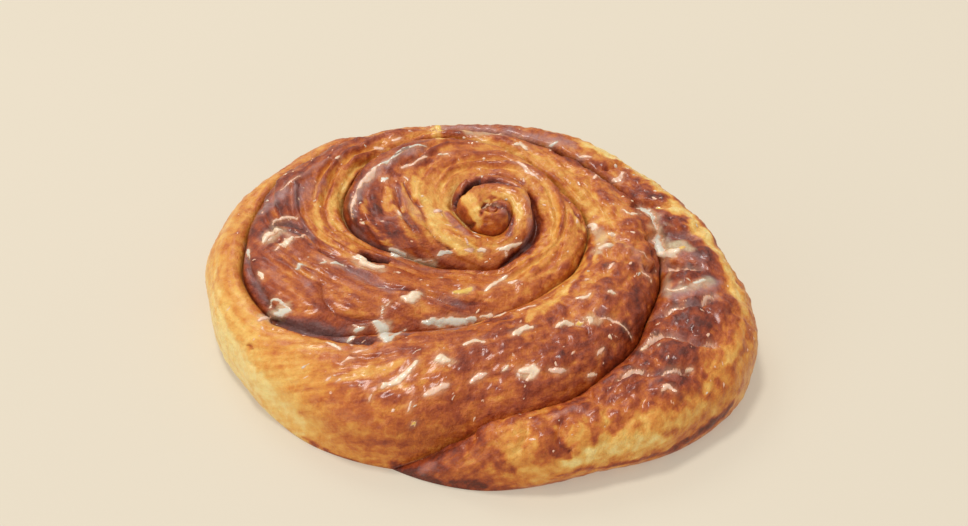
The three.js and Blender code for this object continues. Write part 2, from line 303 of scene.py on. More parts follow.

# ---- Marks on the crust ----
# Each runs through points that are pixels of the photo, and its widths and heights are in millimetres.
# Folds: depth (a ridge's is negative), half width, how much darker with painted shade, points.
FOLDS = [
    (0.8, 0.6, 0.25, (320, 284), (325, 299), (337, 313), (356, 319), (374, 318)),
    (3.4, 1.5, 1.8, (453, 204), (455, 195), (460, 187), (468, 181), (478, 178)),
    (1.2, 0.8, 0.6, (472, 182), (484, 181), (496, 180), (508, 183), (520, 188)),
    (0.6, 0.7, 0.3, (481, 213), (486, 206), (494, 204), (503, 206), (510, 213), (512, 224)),
    (0.4, 1.3, 0.3, (528, 194), (533, 208), (535, 224), (531, 239), (523, 250), (512, 259), (502, 266)),
    (0.5, 0.5, 0.3, (465, 224), (472, 226), (476, 223)),
    (0.8, 0.45, 0.5, (404, 184), (412, 198), (422, 212), (429, 230), (440, 243), (451, 250)),
    (0.7, 0.45, 0.4, (563, 194), (570, 203), (577, 213), (584, 222)),
    (0.5, 0.7, 0.25, (561, 244), (556, 255), (547, 266), (536, 275)),
    (0.6, 0.5, 0.35, (338, 168), (332, 180), (329, 192), (325, 204), (328, 222), (336, 229), (346, 230)),
    (0.7, 0.5, 0.3, (300, 186), (298, 200), (301, 213)),
    (0.9, 0.6, 0.35, (270, 230), (279, 225), (291, 224), (303, 228), (312, 238), (320, 249)),
    (0.5, 0.5, 0.25, (262, 250), (270, 243), (278, 241), (286, 247)),
    (1.0, 0.9, 0.3, (320, 250), (334, 257), (346, 266), (360, 274), (374, 282), (392, 288), (412, 291)),
    (0.8, 0.8, 0.25, (412, 291), (430, 296), (448, 301), (466, 303), (484, 301)),
    (3.2, 1.0, 1.5, (362, 254), (370, 257), (378, 260), (386, 262)),
    (1.0, 0.9, 0.3, (247, 258), (251, 272), (257, 286), (266, 300), (276, 311)),
    (1.2, 1.5, 0.45, (276, 321), (296, 328), (314, 333), (332, 337), (350, 340), (370, 341)),
    (0.8, 0.7, 0.35, (398, 338), (414, 333), (434, 329), (454, 327), (474, 323), (494, 319)),
    (0.9, 0.8, 0.2, (596, 312), (608, 316), (620, 322), (630, 332), (636, 345)),
    (0.7, 0.8, 0.15, (560, 326), (574, 323), (586, 326), (590, 336)),
    (1.6, 1.0, 0.1, (646, 266), (656, 272), (668, 267), (684, 268), (700, 268)),
    (1.8, 1.0, 0.15, (652, 318), (664, 312), (672, 305), (686, 303), (702, 300), (714, 297)),
    (1.8, 1.0, 0.15, (644, 346), (654, 336), (668, 331), (682, 334), (694, 341), (714, 344)),
    (1.5, 1.0, 0.15, (620, 378), (636, 371), (656, 371), (672, 368), (690, 371)),
    (1.4, 1.0, 0.1, (648, 238), (662, 236), (678, 234), (694, 238)),
    (1.4, 1.0, 0.1, (632, 206), (644, 204), (658, 204), (672, 205)),
    (1.2, 0.9, 0.1, (604, 168), (614, 164), (622, 163)),
    (0.7, 0.5, 0.3, (652, 253), (656, 262), (655, 270)),
    (0.7, 0.6, 0.3, (563, 420), (560, 432), (562, 446), (570, 451)),
    (0.5, 0.4, 0.4, (263, 232), (274, 225), (289, 223), (302, 229)),
    (0.5, 0.4, 0.4, (262, 241), (273, 233), (286, 230), (300, 236), (310, 245)),
    (0.4, 0.4, 0.3, (268, 250), (280, 241), (294, 241)),
    (-0.6, 0.7, 0.0, (355, 218), (356, 200), (364, 184), (376, 170), (392, 160), (412, 150), (430, 147)),
    (-1.2, 1.4, 0.0, (642, 212), (649, 227), (656, 242), (663, 257)),
    (-0.5, 0.6, 0.0, (272, 226), (282, 219), (298, 218)),
    (-0.5, 0.7, 0.0, (284, 188), (298, 178), (314, 169), (330, 158)),
    (0.5, 0.5, 0.2, (402, 164), (420, 159), (440, 151)),
    (0.5, 0.5, 0.3, (386, 190), (381, 204), (384, 214)),
    (0.5, 0.5, 0.3, (396, 190), (395, 205)),
    (0.4, 0.4, 0.25, (352, 356), (366, 357), (378, 354)),
    (0.5, 0.5, 0.4, (248, 345), (251, 349)),
]
# Tones: how far it is baked, half width, points.
TONES = [
    # A dark hole: painted shade inside it.
    (1.0, 0.8, (362, 254), (372, 257), (385, 261)),
    (0.20, 1.8, (417, 180), (415, 192), (424, 202), (432, 211), (434, 222), (441, 233), (452, 242),
     (464, 246)),
    (0.14, 2.3, (469, 197), (473, 208), (477, 220)),
    (0.70, 1.3, (446, 214), (455, 224), (466, 232), (478, 237)),
    (0.14, 1.2, (497, 193), (507, 199), (516, 208), (519, 218)),
    (0.88, 0.9, (481, 213), (486, 207), (494, 205), (503, 207), (510, 214), (512, 225), (509, 234)),
    (0.66, 1.4, (495, 216), (502, 229)),
    (0.10, 0.35, (484, 205), (491, 201), (499, 200)),
    (0.16, 1.6, (430, 226), (442, 238), (458, 248), (476, 251)),
    (0.26, 1.1, (545, 192), (552, 206), (554, 224), (552, 240), (545, 253)),
    (0.24, 0.7, (568, 200), (573, 214), (580, 225), (586, 230)),
    (0.26, 1.4, (586, 244), (588, 260), (581, 274), (570, 287), (558, 298), (544, 307), (528, 316)),
    (0.24, 1.0, (322, 196), (317, 212), (319, 228), (328, 240), (336, 247)),
    (0.22, 1.0, (352, 176), (341, 188), (335, 201), (332, 214), (335, 223)),
    (0.28, 0.8, (352, 248), (349, 255)),
    (0.30, 0.9, (366, 222), (376, 230), (386, 241), (391, 246)),
    (0.30, 0.8, (388, 190), (388, 212)),
    (0.32, 0.9, (366, 200), (365, 215)),
    (0.30, 2.2, (572, 186), (586, 198), (598, 212), (606, 222)),
    (0.34, 1.2, (540, 160), (556, 170), (568, 182)),
    (0.05, 2.0, (566, 462), (590, 456), (616, 449), (640, 443), (660, 440)),
    (0.20, 1.6, (600, 443), (622, 436), (646, 432)),
    (0.28, 2.0, (570, 438), (584, 430)),
    (0.34, 2.2, (508, 440), (524, 432), (532, 444)),
    (0.28, 2.4, (636, 420), (660, 420), (690, 420), (704, 404)),
    (0.22, 1.0, (706, 392), (722, 370), (738, 346), (745, 322)),
    (0.22, 0.9, (602, 412), (606, 420)),
    (0.32, 0.5, (276, 329), (296, 336), (320, 341)),
    (0.28, 1.6, (346, 378), (370, 370), (398, 362)),
    (0.02, 3.4, (220, 322), (232, 348), (254, 378), (276, 402)),
    (0.10, 2.2, (276, 402), (288, 413), (300, 423)),
    (0.10, 1.3, (434, 127), (441, 138)),
    (0.04, 2.2, (584, 143), (606, 152), (628, 163), (650, 180), (664, 194)),
    (0.08, 2.9, (670, 202), (688, 218), (702, 236)),
    (0.44, 1.0, (330, 292), (338, 304), (350, 311), (366, 312)),
    (0.12, 2.0, (684, 212), (700, 232), (716, 252), (732, 278), (746, 312)),
    # Dark line along the foot: partly its browned edge and partly painted shade where the foot meets the
    # floor.
    (0.82, 0.7, (306, 438), (330, 452), (356, 463)),
    (0.70, 1.5, (482, 452), (498, 455)),
    (0.72, 1.3, (498, 460), (512, 470)),
    (0.66, 1.6, (536, 420), (546, 430)),
    (0.72, 1.2, (548, 438), (556, 452), (568, 456)),
    (0.62, 1.0, (562, 420), (570, 432)),
    (0.64, 1.3, (592, 412), (600, 428)),
    (0.66, 1.0, (612, 430), (626, 424)),
    (0.74, 1.5, (652, 386), (664, 392)),
    (0.70, 1.2, (670, 398), (676, 408)),
    (0.90, 1.7, (529, 196), (535, 215), (534, 235), (525, 250), (508, 261)),
    (0.97, 1.7, (268, 316), (296, 325), (326, 333), (356, 339), (384, 339)),
    (0.88, 0.9, (400, 334), (440, 328), (490, 320), (510, 316)),
    (0.82, 1.4, (462, 186), (480, 181), (500, 179), (520, 184)),
    (0.78, 0.9, (580, 228), (588, 242), (590, 258), (584, 274), (570, 290)),
    (0.90, 0.7, (374, 188), (371, 204), (375, 222), (384, 236)),
    (0.90, 0.6, (398, 184), (397, 200), (405, 217), (416, 232)),
    (0.34, 0.8, (392, 206), (402, 222), (412, 236)),
    (0.56, 2.2, (280, 278), (294, 296), (310, 311)),
    (0.72, 1.9, (384, 396), (402, 398)),
    (0.68, 1.3, (358, 402), (364, 404)),
    (0.68, 1.4, (392, 424), (398, 428)),
    (0.76, 1.7, (493, 356), (500, 360)),
    (0.76, 1.9, (518, 390), (536, 394)),
    (0.76, 2.0, (558, 336), (566, 342)),
    (0.72, 1.4, (548, 318), (568, 316)),
    (0.82, 2.4, (576, 352), (598, 338), (612, 334)),
    (0.86, 2.6, (606, 366), (624, 352)),
    (0.90, 2.2, (640, 286), (634, 304), (636, 322)),
    (0.88, 2.2, (676, 318), (698, 316), (720, 318)),
    (0.88, 1.8, (684, 222), (668, 216)),
    (0.88, 1.8, (668, 246), (690, 247), (706, 252)),
    (0.92, 1.8, (672, 276), (700, 274), (716, 278)),
    (0.34, 1.2, (742, 300), (740, 330), (728, 352), (712, 372)),
    (0.92, 1.6, (712, 304), (726, 310)),
    (0.92, 1.9, (700, 324), (704, 336)),
    (0.88, 2.0, (676, 354), (692, 352)),
    (0.92, 1.5, (672, 380), (690, 382)),
    (0.84, 2.0, (636, 188), (656, 196)),
    (0.80, 1.8, (584, 164), (602, 166)),
    (0.90, 1.0, (386, 168), (398, 176)),
    (0.84, 1.0, (414, 166), (428, 162)),
    (0.82, 1.0, (452, 302), (474, 304)),
    (0.98, 1.8, (396, 468), (414, 476), (436, 482)),
    (0.98, 1.3, (450, 483), (466, 485), (482, 485)),
    (0.98, 1.7, (730, 404), (719, 416), (706, 428)),
    (0.94, 1.0, (706, 428), (690, 440), (668, 452)),
    (0.86, 0.8, (676, 448), (656, 456), (636, 461), (606, 468)),
    (0.66, 0.8, (606, 468), (580, 472), (556, 476)),
]
# Milky films that the glaze left where it ran thin, which also stand for a lilac sheen of light along the
# ridges, so they are partly a painted sheen. Strength, half width, points.
FILMS_AND_SHEEN = [
    (0.65, 1.3, (527, 198), (532, 213), (531, 232), (524, 246)),
    (0.50, 0.9, (491, 209), (505, 211), (513, 223), (508, 235)),
    (0.60, 0.8, (455, 222), (462, 231), (470, 236)),
    (0.85, 2.0, (264, 212), (272, 202), (282, 194), (294, 188)),
    (0.45, 2.6, (294, 204), (304, 192), (320, 182)),
    (0.60, 0.8, (246, 244), (248, 262), (254, 280), (262, 298)),
    (0.50, 1.6, (262, 238), (276, 232), (292, 236)),
    (0.55, 0.9, (300, 178), (314, 169), (328, 158)),
    (0.50, 1.2, (278, 222), (292, 223), (304, 228), (312, 236)),
    (0.95, 1.4, (354, 216), (355, 201), (362, 187), (372, 175), (385, 165), (400, 157), (420, 150)),
    (0.45, 1.2, (396, 190), (406, 201), (414, 210), (421, 218)),
    (0.50, 1.0, (384, 218), (396, 217), (406, 218)),
    (0.75, 1.0, (353, 226), (361, 236), (373, 245), (386, 250)),
    (0.90, 1.0, (388, 249), (398, 252), (408, 256)),
    (0.65, 1.5, (318, 258), (330, 262), (346, 268), (360, 275), (376, 283), (392, 290)),
    (0.45, 0.7, (318, 268), (314, 278), (306, 288)),
    (0.60, 1.6, (274, 322), (292, 324), (312, 330), (332, 333), (350, 336)),
    (0.70, 0.9, (400, 335), (420, 331), (440, 328), (460, 326), (480, 322)),
    (0.45, 1.2, (430, 298), (446, 300), (460, 302)),
    (0.50, 0.9, (444, 212), (450, 221), (457, 229), (466, 235)),
    (0.85, 1.5, (448, 127), (474, 130), (502, 133), (532, 137), (560, 141), (574, 146)),
    (0.55, 1.2, (580, 156), (600, 174), (620, 178)),
    (0.70, 1.3, (654, 240), (668, 236), (682, 234), (696, 239)),
    (0.75, 1.1, (646, 266), (660, 270), (680, 267), (702, 268)),
    (0.75, 1.1, (654, 318), (668, 307), (686, 303), (704, 300), (718, 295)),
    (0.75, 1.0, (646, 345), (658, 334), (674, 331), (690, 338), (714, 344)),
    (0.40, 1.0, (622, 378), (642, 370), (664, 370), (686, 371)),
    (0.50, 1.6, (668, 256), (688, 255), (702, 262)),
    (0.90, 2.2, (668, 288), (684, 292), (704, 285), (714, 281)),
    (0.30, 1.2, (650, 380), (662, 374), (678, 371)),
    (0.45, 1.0, (612, 238), (624, 246), (638, 258), (646, 272)),
    (0.50, 1.0, (594, 316), (600, 308)),
    (0.50, 1.0, (660, 214), (660, 228)),
    (0.55, 0.9, (558, 414), (574, 409), (588, 410)),
    (0.50, 1.0, (422, 472), (436, 465)),
    (0.35, 1.2, (400, 264), (424, 268), (446, 271)),
]
# Paler, creamier films, in the same form.
PALE_FILMS = [
    (0.95, 2.2, (644, 212), (650, 224), (655, 236), (662, 248)),
    (0.85, 1.6, (664, 250), (676, 245), (690, 249)),
    (0.40, 1.4, (668, 272), (666, 286), (672, 296)),
    (0.45, 1.6, (678, 291), (694, 286), (708, 282)),
    (0.55, 1.3, (698, 284), (712, 281)),
    (0.75, 1.5, (262, 316), (276, 312), (288, 308)),
    (0.60, 1.3, (268, 240), (276, 233), (286, 229)),
    (0.50, 1.0, (404, 256), (420, 262), (436, 262)),
    (0.70, 1.6, (384, 326), (390, 336)),
    (0.60, 0.9, (352, 262), (366, 268), (382, 271)),
    (0.55, 0.8, (452, 130), (474, 133), (500, 135)),
    (0.60, 1.2, (594, 228), (600, 240), (598, 252)),
    (0.50, 1.2, (586, 318), (600, 320)),
    (0.60, 1.4, (520, 374), (534, 374)),
    (0.45, 1.0, (442, 364), (452, 362)),
]
# Glaze that stands up: kind, thickness before GLAZE_SHARE thins it, half width, points.
COOL, CREAM, PINK, YELLOW = 1.0, 0.66, 0.33, 0.0
GLAZE = [
    (PINK, 0.15, 0.4, (281, 190), (286, 185), (292, 181), (299, 177)),
    (CREAM, 0.3, 0.5, (336, 160), (340, 158)),
    (PINK, 0.2, 0.5, (354, 218), (354, 208), (356, 199), (358, 192)),
    (PINK, 0.25, 0.9, (358, 191), (364, 183), (370, 176), (376, 171)),
    (COOL, 0.25, 0.5, (372, 171), (382, 165), (392, 160), (401, 155), (411, 150), (425, 147)),
    (COOL, 0.3, 0.6, (382, 181), (387, 179)),
    (PINK, 0.15, 0.6, (376, 146), (382, 149)),
    (PINK, 0.3, 0.6, (402, 168), (408, 166), (415, 162), (425, 157)),
    (CREAM, 0.3, 0.5, (440, 154), (447, 153)),
    (YELLOW, 0.5, 0.9, (432, 129), (437, 127), (440, 131)),
    (PINK, 0.15, 0.5, (392, 140), (401, 138)),
    (PINK, 0.2, 0.5, (272, 225), (279, 220), (287, 217), (297, 219)),
    (CREAM, 0.55, 0.9, (265, 243), (267, 238), (273, 233), (282, 229)),
    (CREAM, 0.5, 0.8, (280, 246), (286, 243), (292, 239)),
    (PINK, 0.12, 0.4, (294, 239), (300, 237), (306, 235)),
    (PINK, 0.15, 0.4, (275, 252), (280, 248)),
    (PINK, 0.4, 0.7, (436, 212), (441, 210)),
    (CREAM, 0.25, 0.45, (397, 212), (400, 217)),
    (PINK, 0.15, 0.4, (403, 177), (408, 181)),
    (CREAM, 0.12, 0.3, (484, 209), (489, 205), (497, 204)),
    (PINK, 0.3, 0.4, (497, 136), (503, 135)),
    (PINK, 0.2, 0.35, (474, 143), (481, 141)),
    (CREAM, 0.4, 0.8, (516, 146), (521, 145), (526, 147)),
    (PINK, 0.15, 0.5, (511, 160), (518, 165), (524, 169), (532, 174), (539, 178)),
    (PINK, 0.2, 0.35, (505, 162), (507, 160)),
    (COOL, 0.3, 0.5, (549, 145), (557, 142)),
    (PINK, 0.3, 0.6, (580, 157), (586, 155), (591, 156)),
    (PINK, 0.15, 0.5, (594, 177), (602, 174)),
    (PINK, 0.2, 0.8, (612, 181), (618, 178), (622, 173)),
    (PINK, 0.2, 0.35, (612, 204), (615, 203)),
    (CREAM, 0.5, 1.0, (589, 224), (594, 226), (593, 229)),
    (CREAM, 0.4, 0.6, (610, 234), (614, 233)),
    (CREAM, 0.2, 0.4, (622, 208), (630, 212), (640, 214)),
    (COOL, 0.7, 1.9, (642, 211), (648, 220), (652, 231), (657, 242), (663, 251)),
    (CREAM, 0.6, 1.3, (662, 256), (670, 255), (678, 251)),
    (CREAM, 0.3, 0.6, (632, 206), (638, 209), (644, 212)),
    (CREAM, 0.3, 0.4, (668, 290), (676, 292), (684, 290)),
    (COOL, 0.3, 0.45, (694, 284), (706, 281)),
    (YELLOW, 0.25, 0.7, (656, 204), (664, 205), (671, 205)),
    (YELLOW, 0.25, 0.9, (668, 252), (675, 251), (683, 247)),
    (PINK, 0.2, 0.5, (658, 270), (667, 267), (684, 268), (697, 267)),
    (PINK, 0.15, 0.3, (635, 249), (643, 252), (649, 258)),
    (PINK, 0.15, 0.3, (642, 271), (648, 277), (651, 283)),
    (CREAM, 0.5, 0.8, (600, 250), (606, 248), (612, 245)),
    (PINK, 0.2, 0.5, (608, 268), (614, 265)),
    (CREAM, 0.35, 0.6, (609, 294), (614, 293)),
    (PINK, 0.2, 0.4, (571, 283), (575, 280)),
    (PINK, 0.2, 0.5, (586, 280), (590, 278)),
    (CREAM, 0.35, 0.6, (578, 299), (585, 296), (591, 294)),
    (PINK, 0.3, 0.5, (519, 311), (527, 308), (535, 306)),
    (CREAM, 0.4, 0.8, (514, 334), (523, 330), (532, 326)),
    (CREAM, 0.35, 0.6, (556, 325), (564, 322), (573, 322)),
    (YELLOW, 0.35, 0.7, (576, 322), (583, 321)),
    (CREAM, 0.4, 1.0, (588, 318), (594, 320)),
    (PINK, 0.2, 0.45, (600, 319), (608, 317), (616, 321), (624, 326), (630, 333), (633, 339)),
    (PINK, 0.25, 0.4, (664, 311), (669, 306), (676, 304), (684, 302)),
    (PINK, 0.2, 0.4, (702, 299), (708, 296), (716, 295)),
    (COOL, 0.3, 0.3, (680, 284), (682, 282)),
    (COOL, 0.3, 0.35, (685, 290), (687, 287)),
    (PINK, 0.25, 0.5, (646, 342), (652, 336), (660, 333), (668, 331), (678, 333), (686, 338), (694, 343)),
    (PINK, 0.15, 0.4, (702, 343), (712, 342), (717, 346)),
    (CREAM, 0.35, 0.6, (642, 350), (645, 343)),
    # A white glint of light, drawn as a glaze dot: a painted highlight.
    (COOL, 0.3, 0.45, (657, 345), (660, 343)),
    (PINK, 0.25, 0.6, (617, 379), (626, 374), (634, 371), (643, 369)),
    (PINK, 0.2, 0.5, (661, 371), (668, 368), (676, 368), (683, 371)),
    (CREAM, 0.3, 0.4, (688, 369), (692, 368)),
    (PINK, 0.15, 0.6, (661, 391), (668, 388), (675, 392)),
    (COOL, 0.2, 0.5, (249, 250), (249, 258)),
    (CREAM, 0.3, 0.6, (259, 272), (261, 279)),
    (COOL, 0.35, 0.6, (297, 270), (301, 268), (304, 266)),
    (COOL, 0.2, 0.45, (321, 265), (326, 263)),
    (COOL, 0.2, 0.5, (331, 264), (338, 263), (344, 265)),
    (CREAM, 0.75, 1.1, (355, 258), (360, 261), (366, 264), (374, 267), (382, 269)),
    (COOL, 0.45, 0.8, (389, 248), (397, 250), (405, 253)),
    (COOL, 0.4, 0.7, (391, 255), (398, 257)),
    (COOL, 0.15, 0.35, (404, 258), (412, 260), (421, 260), (431, 259)),
    (PINK, 0.35, 0.7, (258, 320), (264, 318), (270, 316)),
    (COOL, 0.35, 1.1, (273, 314), (280, 313), (288, 311)),
    (COOL, 0.15, 0.4, (268, 308), (271, 301), (277, 300), (284, 305), (292, 312)),
    (COOL, 0.2, 0.3, (383, 305), (383, 317)),
    (COOL, 0.55, 1.5, (375, 323), (381, 328), (386, 334), (385, 341)),
    (COOL, 0.25, 0.6, (391, 339), (398, 333), (406, 330)),
    (COOL, 0.3, 0.7, (348, 339), (353, 336), (358, 331), (362, 328)),
    (CREAM, 0.85, 1.4, (405, 300), (410, 299), (416, 296), (421, 293)),
    (PINK, 0.2, 0.35, (387, 305), (390, 304)),
    (COOL, 0.3, 0.6, (438, 255), (445, 254), (452, 253)),
    (PINK, 0.25, 0.45, (467, 250), (472, 250)),
    (CREAM, 0.3, 0.6, (478, 251), (485, 250)),
    (CREAM, 0.3, 0.6, (499, 248), (507, 248), (514, 245), (521, 243)),
    (PINK, 0.2, 0.4, (505, 251), (507, 256)),
    (YELLOW, 0.55, 1.0, (453, 293), (460, 291), (466, 290), (471, 288)),
    (CREAM, 0.35, 0.7, (486, 290), (494, 285), (500, 281), (507, 276)),
    (PINK, 0.25, 0.6, (509, 282), (517, 281)),
    (CREAM, 0.2, 0.3, (438, 277), (442, 276)),
    (COOL, 0.5, 1.1, (424, 322), (432, 321), (440, 323), (450, 321), (459, 322), (468, 321), (475, 319)),
    (CREAM, 0.3, 0.6, (482, 318), (490, 316), (498, 314), (506, 313)),
    (CREAM, 0.25, 0.6, (327, 344), (334, 347), (341, 350)),
    (PINK, 0.2, 0.45, (325, 381), (331, 378)),
    (PINK, 0.2, 0.4, (337, 381), (340, 380)),
    (PINK, 0.15, 0.4, (343, 364), (348, 360), (355, 358)),
    (CREAM, 0.4, 0.8, (381, 388), (386, 385), (393, 382), (400, 377), (406, 372), (411, 367), (417, 363)),
    (PINK, 0.4, 0.8, (424, 395), (432, 391), (440, 388), (449, 386)),
    (CREAM, 0.55, 1.1, (435, 361), (441, 360), (447, 361)),
    (CREAM, 0.3, 0.7, (466, 345), (475, 341), (485, 342)),
    (PINK, 0.35, 0.7, (471, 380), (478, 378), (485, 375)),
    (PINK, 0.15, 0.4, (372, 396), (370, 402)),
    (PINK, 0.25, 0.4, (411, 403), (408, 411)),
    (YELLOW, 0.3, 0.7, (411, 425), (415, 422)),
    (CREAM, 0.3, 0.45, (502, 371), (508, 366)),
    (CREAM, 0.5, 1.1, (519, 370), (527, 371), (534, 371), (530, 377)),
    (PINK, 0.3, 0.6, (549, 370), (558, 372), (567, 369)),
    (CREAM, 0.4, 0.7, (589, 375), (593, 376)),
    (PINK, 0.15, 0.35, (351, 352), (360, 351), (368, 349)),
    (PINK, 0.15, 0.5, (597, 354), (603, 348)),
]
GLAZE_SHARE = 0.6
GLAZE_ROUNDNESS = 0.8
GLAZE_TAPER = 0.45
GLAZE_REACH = 1.6
GLAZE_RAGGEDNESS = 0.4
GLAZE_RAGGED_LENGTH = 1.2
GLAZE_WARP = 0.3
GLAZE_WARP_LENGTH = 1.6
GLAZE_UNEVENNESS = 0.25
GLAZE_UNEVEN_LENGTH = 1.3
# The underside of the glaze lies this deep in the crust, and its edge is sunk by this much.
GLAZE_ROOT = 0.35
GLAZE_SUNK = 0.08
# How much the thinnest glaze has of its own colour, and how much more for each millimetre.
THINNEST_COVER = 0.4
COVER_PER_MM = 2.5
# Specks of glaze, which also stand for small glints of light on the crust, so they are partly painted
# highlights: how many, their ranges of sizes, and the kinds they are drawn from.
SPECKS_AND_GLINTS = 340
SPECK_HALF_WIDTH = (0.14, 0.34)
SPECK_LENGTH = (0.3, 2.2)
SPECK_HEIGHT = (0.1, 0.3)
SPECK_KINDS = (COOL, CREAM, CREAM, PINK, PINK, PINK)
# They lie where the normal points up by more than this, and not in this share beside the grooves.
SPECK_UPRIGHT = 0.55
SPECK_EDGE = 0.1


def srgb(red, green, blue):
    """Linear colour of an sRGB one given in 0 to 255."""
    values = np.array([red, green, blue]) / 255
    linear = np.where(values <= 0.04045, values / 12.92, ((values + 0.055) / 1.055) ** 2.4)
    return (*linear, 1.0)


def smoothstep(value, low, high):
    share = np.clip((value - low) / (high - low), 0, 1)
    return share * share * (3 - 2 * share)


def lerp(start, end, share):
    return start + (end - start) * share


def along_values(values, place, closed=False):
    """Smooth curve through evenly spaced values, read at places counted in values."""
    index = np.floor(place).astype(int)
    share = place - index

    def at(k):
        return values[k % len(values)] if closed else values[np.clip(k, 0, len(values) - 1)]

    before, start, end, after = at(index - 1), at(index), at(index + 1), at(index + 2)
    slope = end - before
    bend = 2 * before - 5 * start + 4 * end - after
    twist = 3 * (start - end) + after - before
    return start + 0.5 * share * (slope + share * (bend + share * twist))


def between_rows(table, angle):
    """The table's columns at each angle, eased from one row to the next."""
    upper = np.clip(np.searchsorted(table[:, 0], angle, side="right"), 1, len(table) - 1)
    low, high = table[upper - 1], table[upper]
    share = smoothstep(angle, low[:, 0], high[:, 0])[:, None]
    return lerp(low[:, 1:], high[:, 1:], share).T


def from_tip(angle):
    turned = (angle - TAIL_ANGLE) % TURN
    return np.minimum(turned, TURN - turned)


def tuck_at(angle):
    return FOOT_TUCK * smoothstep(from_tip(angle), TUCK_FROM_ANGLE, TUCK_FULL_ANGLE)


def foot_radius(angle):
    wall = along_values(WALL_RADIUS, angle / HOUR, closed=True)
    dent = TIP_DENT * np.maximum(0, 1 - from_tip(angle) / TIP_DENT_ANGLE) ** 2
    return wall - dent - tuck_at(angle)


def groove_at(angle):
    """Distance from the eye and height of the groove on the strip's outer side."""
    angle = np.asarray(angle, float)
    place = (angle - FIRST_HOUR_ANGLE) / HOUR
    radius = along_values(GROOVE_RADIUS, place)
    height = along_values(GROOVE_HEIGHT, place)
    start = np.clip((angle - EYE_ANGLE) / (FIRST_HOUR_ANGLE - EYE_ANGLE), 0, 1)
    radius = np.where(angle < FIRST_HOUR_ANGLE, start * GROOVE_RADIUS[0], radius)
    height = np.where(angle < FIRST_HOUR_ANGLE, lerp(EYE_TOP, GROOVE_HEIGHT[0], start), height)
    end = np.clip((angle - LAST_HOUR_ANGLE) / (TAIL_ANGLE - LAST_HOUR_ANGLE), 0, 1) ** TAIL_DIVE
    tip = foot_radius(np.array(float(TAIL_ANGLE)))
    radius = np.where(angle > LAST_HOUR_ANGLE, lerp(GROOVE_RADIUS[-1], tip, end), radius)
    height = np.where(angle > LAST_HOUR_ANGLE, lerp(GROOVE_HEIGHT[-1], 0, end), height)
    return radius, height


def sections(angle):
    """Radius and height of each angle's section from the inner groove over the crest to the foot."""
    inner_r, inner_z = groove_at(angle - TURN)
    outer_r, outer_z = groove_at(angle)
    on_wall = angle >= TAIL_ANGLE
    outer_r = np.where(on_wall, foot_radius(angle), outer_r)
    outer_z = np.where(on_wall, 0, outer_z)
    rise, place, inside, outside = between_rows(SECTIONS, angle)
    top = inner_z + rise
    wall_z = np.maximum(outer_z, np.minimum(WALL_HEIGHT, WALL_SHARE * top))
    wall_r = outer_r + tuck_at(angle) * (wall_z - outer_z) / WALL_HEIGHT
    outer_r = outer_r - FOOT_DRAWN_IN * np.exp(-(((angle - DRAWN_IN_ANGLE) / DRAWN_IN_SPREAD) ** 2))
    crest_r = lerp(inner_r, wall_r, place)

    def column(values):
        return values[:, None]

    turn = np.linspace(0, math.pi / 2, SECTION_STEPS + 1)
    rising, falling = turn[::-1], turn[1:]
    radius = np.hstack([
        lerp(column(crest_r), column(inner_r), np.sin(rising) ** column(inside)),
        lerp(column(crest_r), column(wall_r), np.sin(falling) ** column(outside)),
        lerp(column(outer_r), column(wall_r), np.cos(falling)),
    ])
    height = np.hstack([
        lerp(column(inner_z), column(top), np.abs(np.cos(rising)) ** column(inside)),
        lerp(column(wall_z), column(top), np.abs(np.cos(falling)) ** column(outside)),
        lerp(column(wall_z), column(outer_z), np.sin(falling)),
    ])
    return radius, height


def column_angles(first, last, step):
    """Winding angles from first to just before last, about step mm apart on the surface."""
    angle = np.arange(first, last + 1.0)
    middle = (groove_at(angle - TURN)[0] + groove_at(np.minimum(angle, TAIL_ANGLE))[0]) / 2
    length = np.cumsum(np.radians(np.maximum(middle, SMALLEST_COLUMN_RADIUS)))
    length -= length[0]
    count = math.ceil(length[-1] / step)
    return np.interp(np.arange(count) * length[-1] / count, length, angle)


# ---- Noise ----
class Noise:
    """Seeded smooth noise on points in millimetres. A number added to the points reads it elsewhere."""

    def __init__(self, seed):
        draw = np.random.default_rng(seed)
        self.order = draw.permutation(256)
        self.slopes = draw.normal(size=(256, 3))
        self.slopes /= np.linalg.norm(self.slopes, axis=1)[:, None]

    def slope(self, cell):
        x, y, z = cell[..., 0], cell[..., 1], cell[..., 2]
        order = self.order
        return self.slopes[order[(order[(order[x & 255] + y) & 255] + z) & 255]]

    def smooth(self, points, length):
        """From about -1 to 1, with features of about that length."""
        place = points / length
        cell = np.floor(place).astype(int)
        share = place - cell
        ease = share ** 3 * (share * (share * 6 - 15) + 10)
        total = np.zeros(points.shape[:-1])
        for corner in np.ndindex(2, 2, 2):
            corner = np.array(corner)
            weight = np.prod(np.where(corner == 1, ease, 1 - ease), axis=-1)
            total += weight * np.sum(self.slope(cell + corner) * (share - corner), axis=-1)
        return 1.6 * total

    def layered(self, points, length, layers=3):
        total = np.zeros(points.shape[:-1])
        for layer in range(layers):
            total += self.smooth(points + 31.7 * layer, length / 2 ** layer) / 2 ** layer
        return total

    def apart(self, points, length):
        """Three smooth noises as a vector, for drifting points."""
        return np.stack([self.smooth(points + 57 * k, length) for k in range(3)], axis=-1)


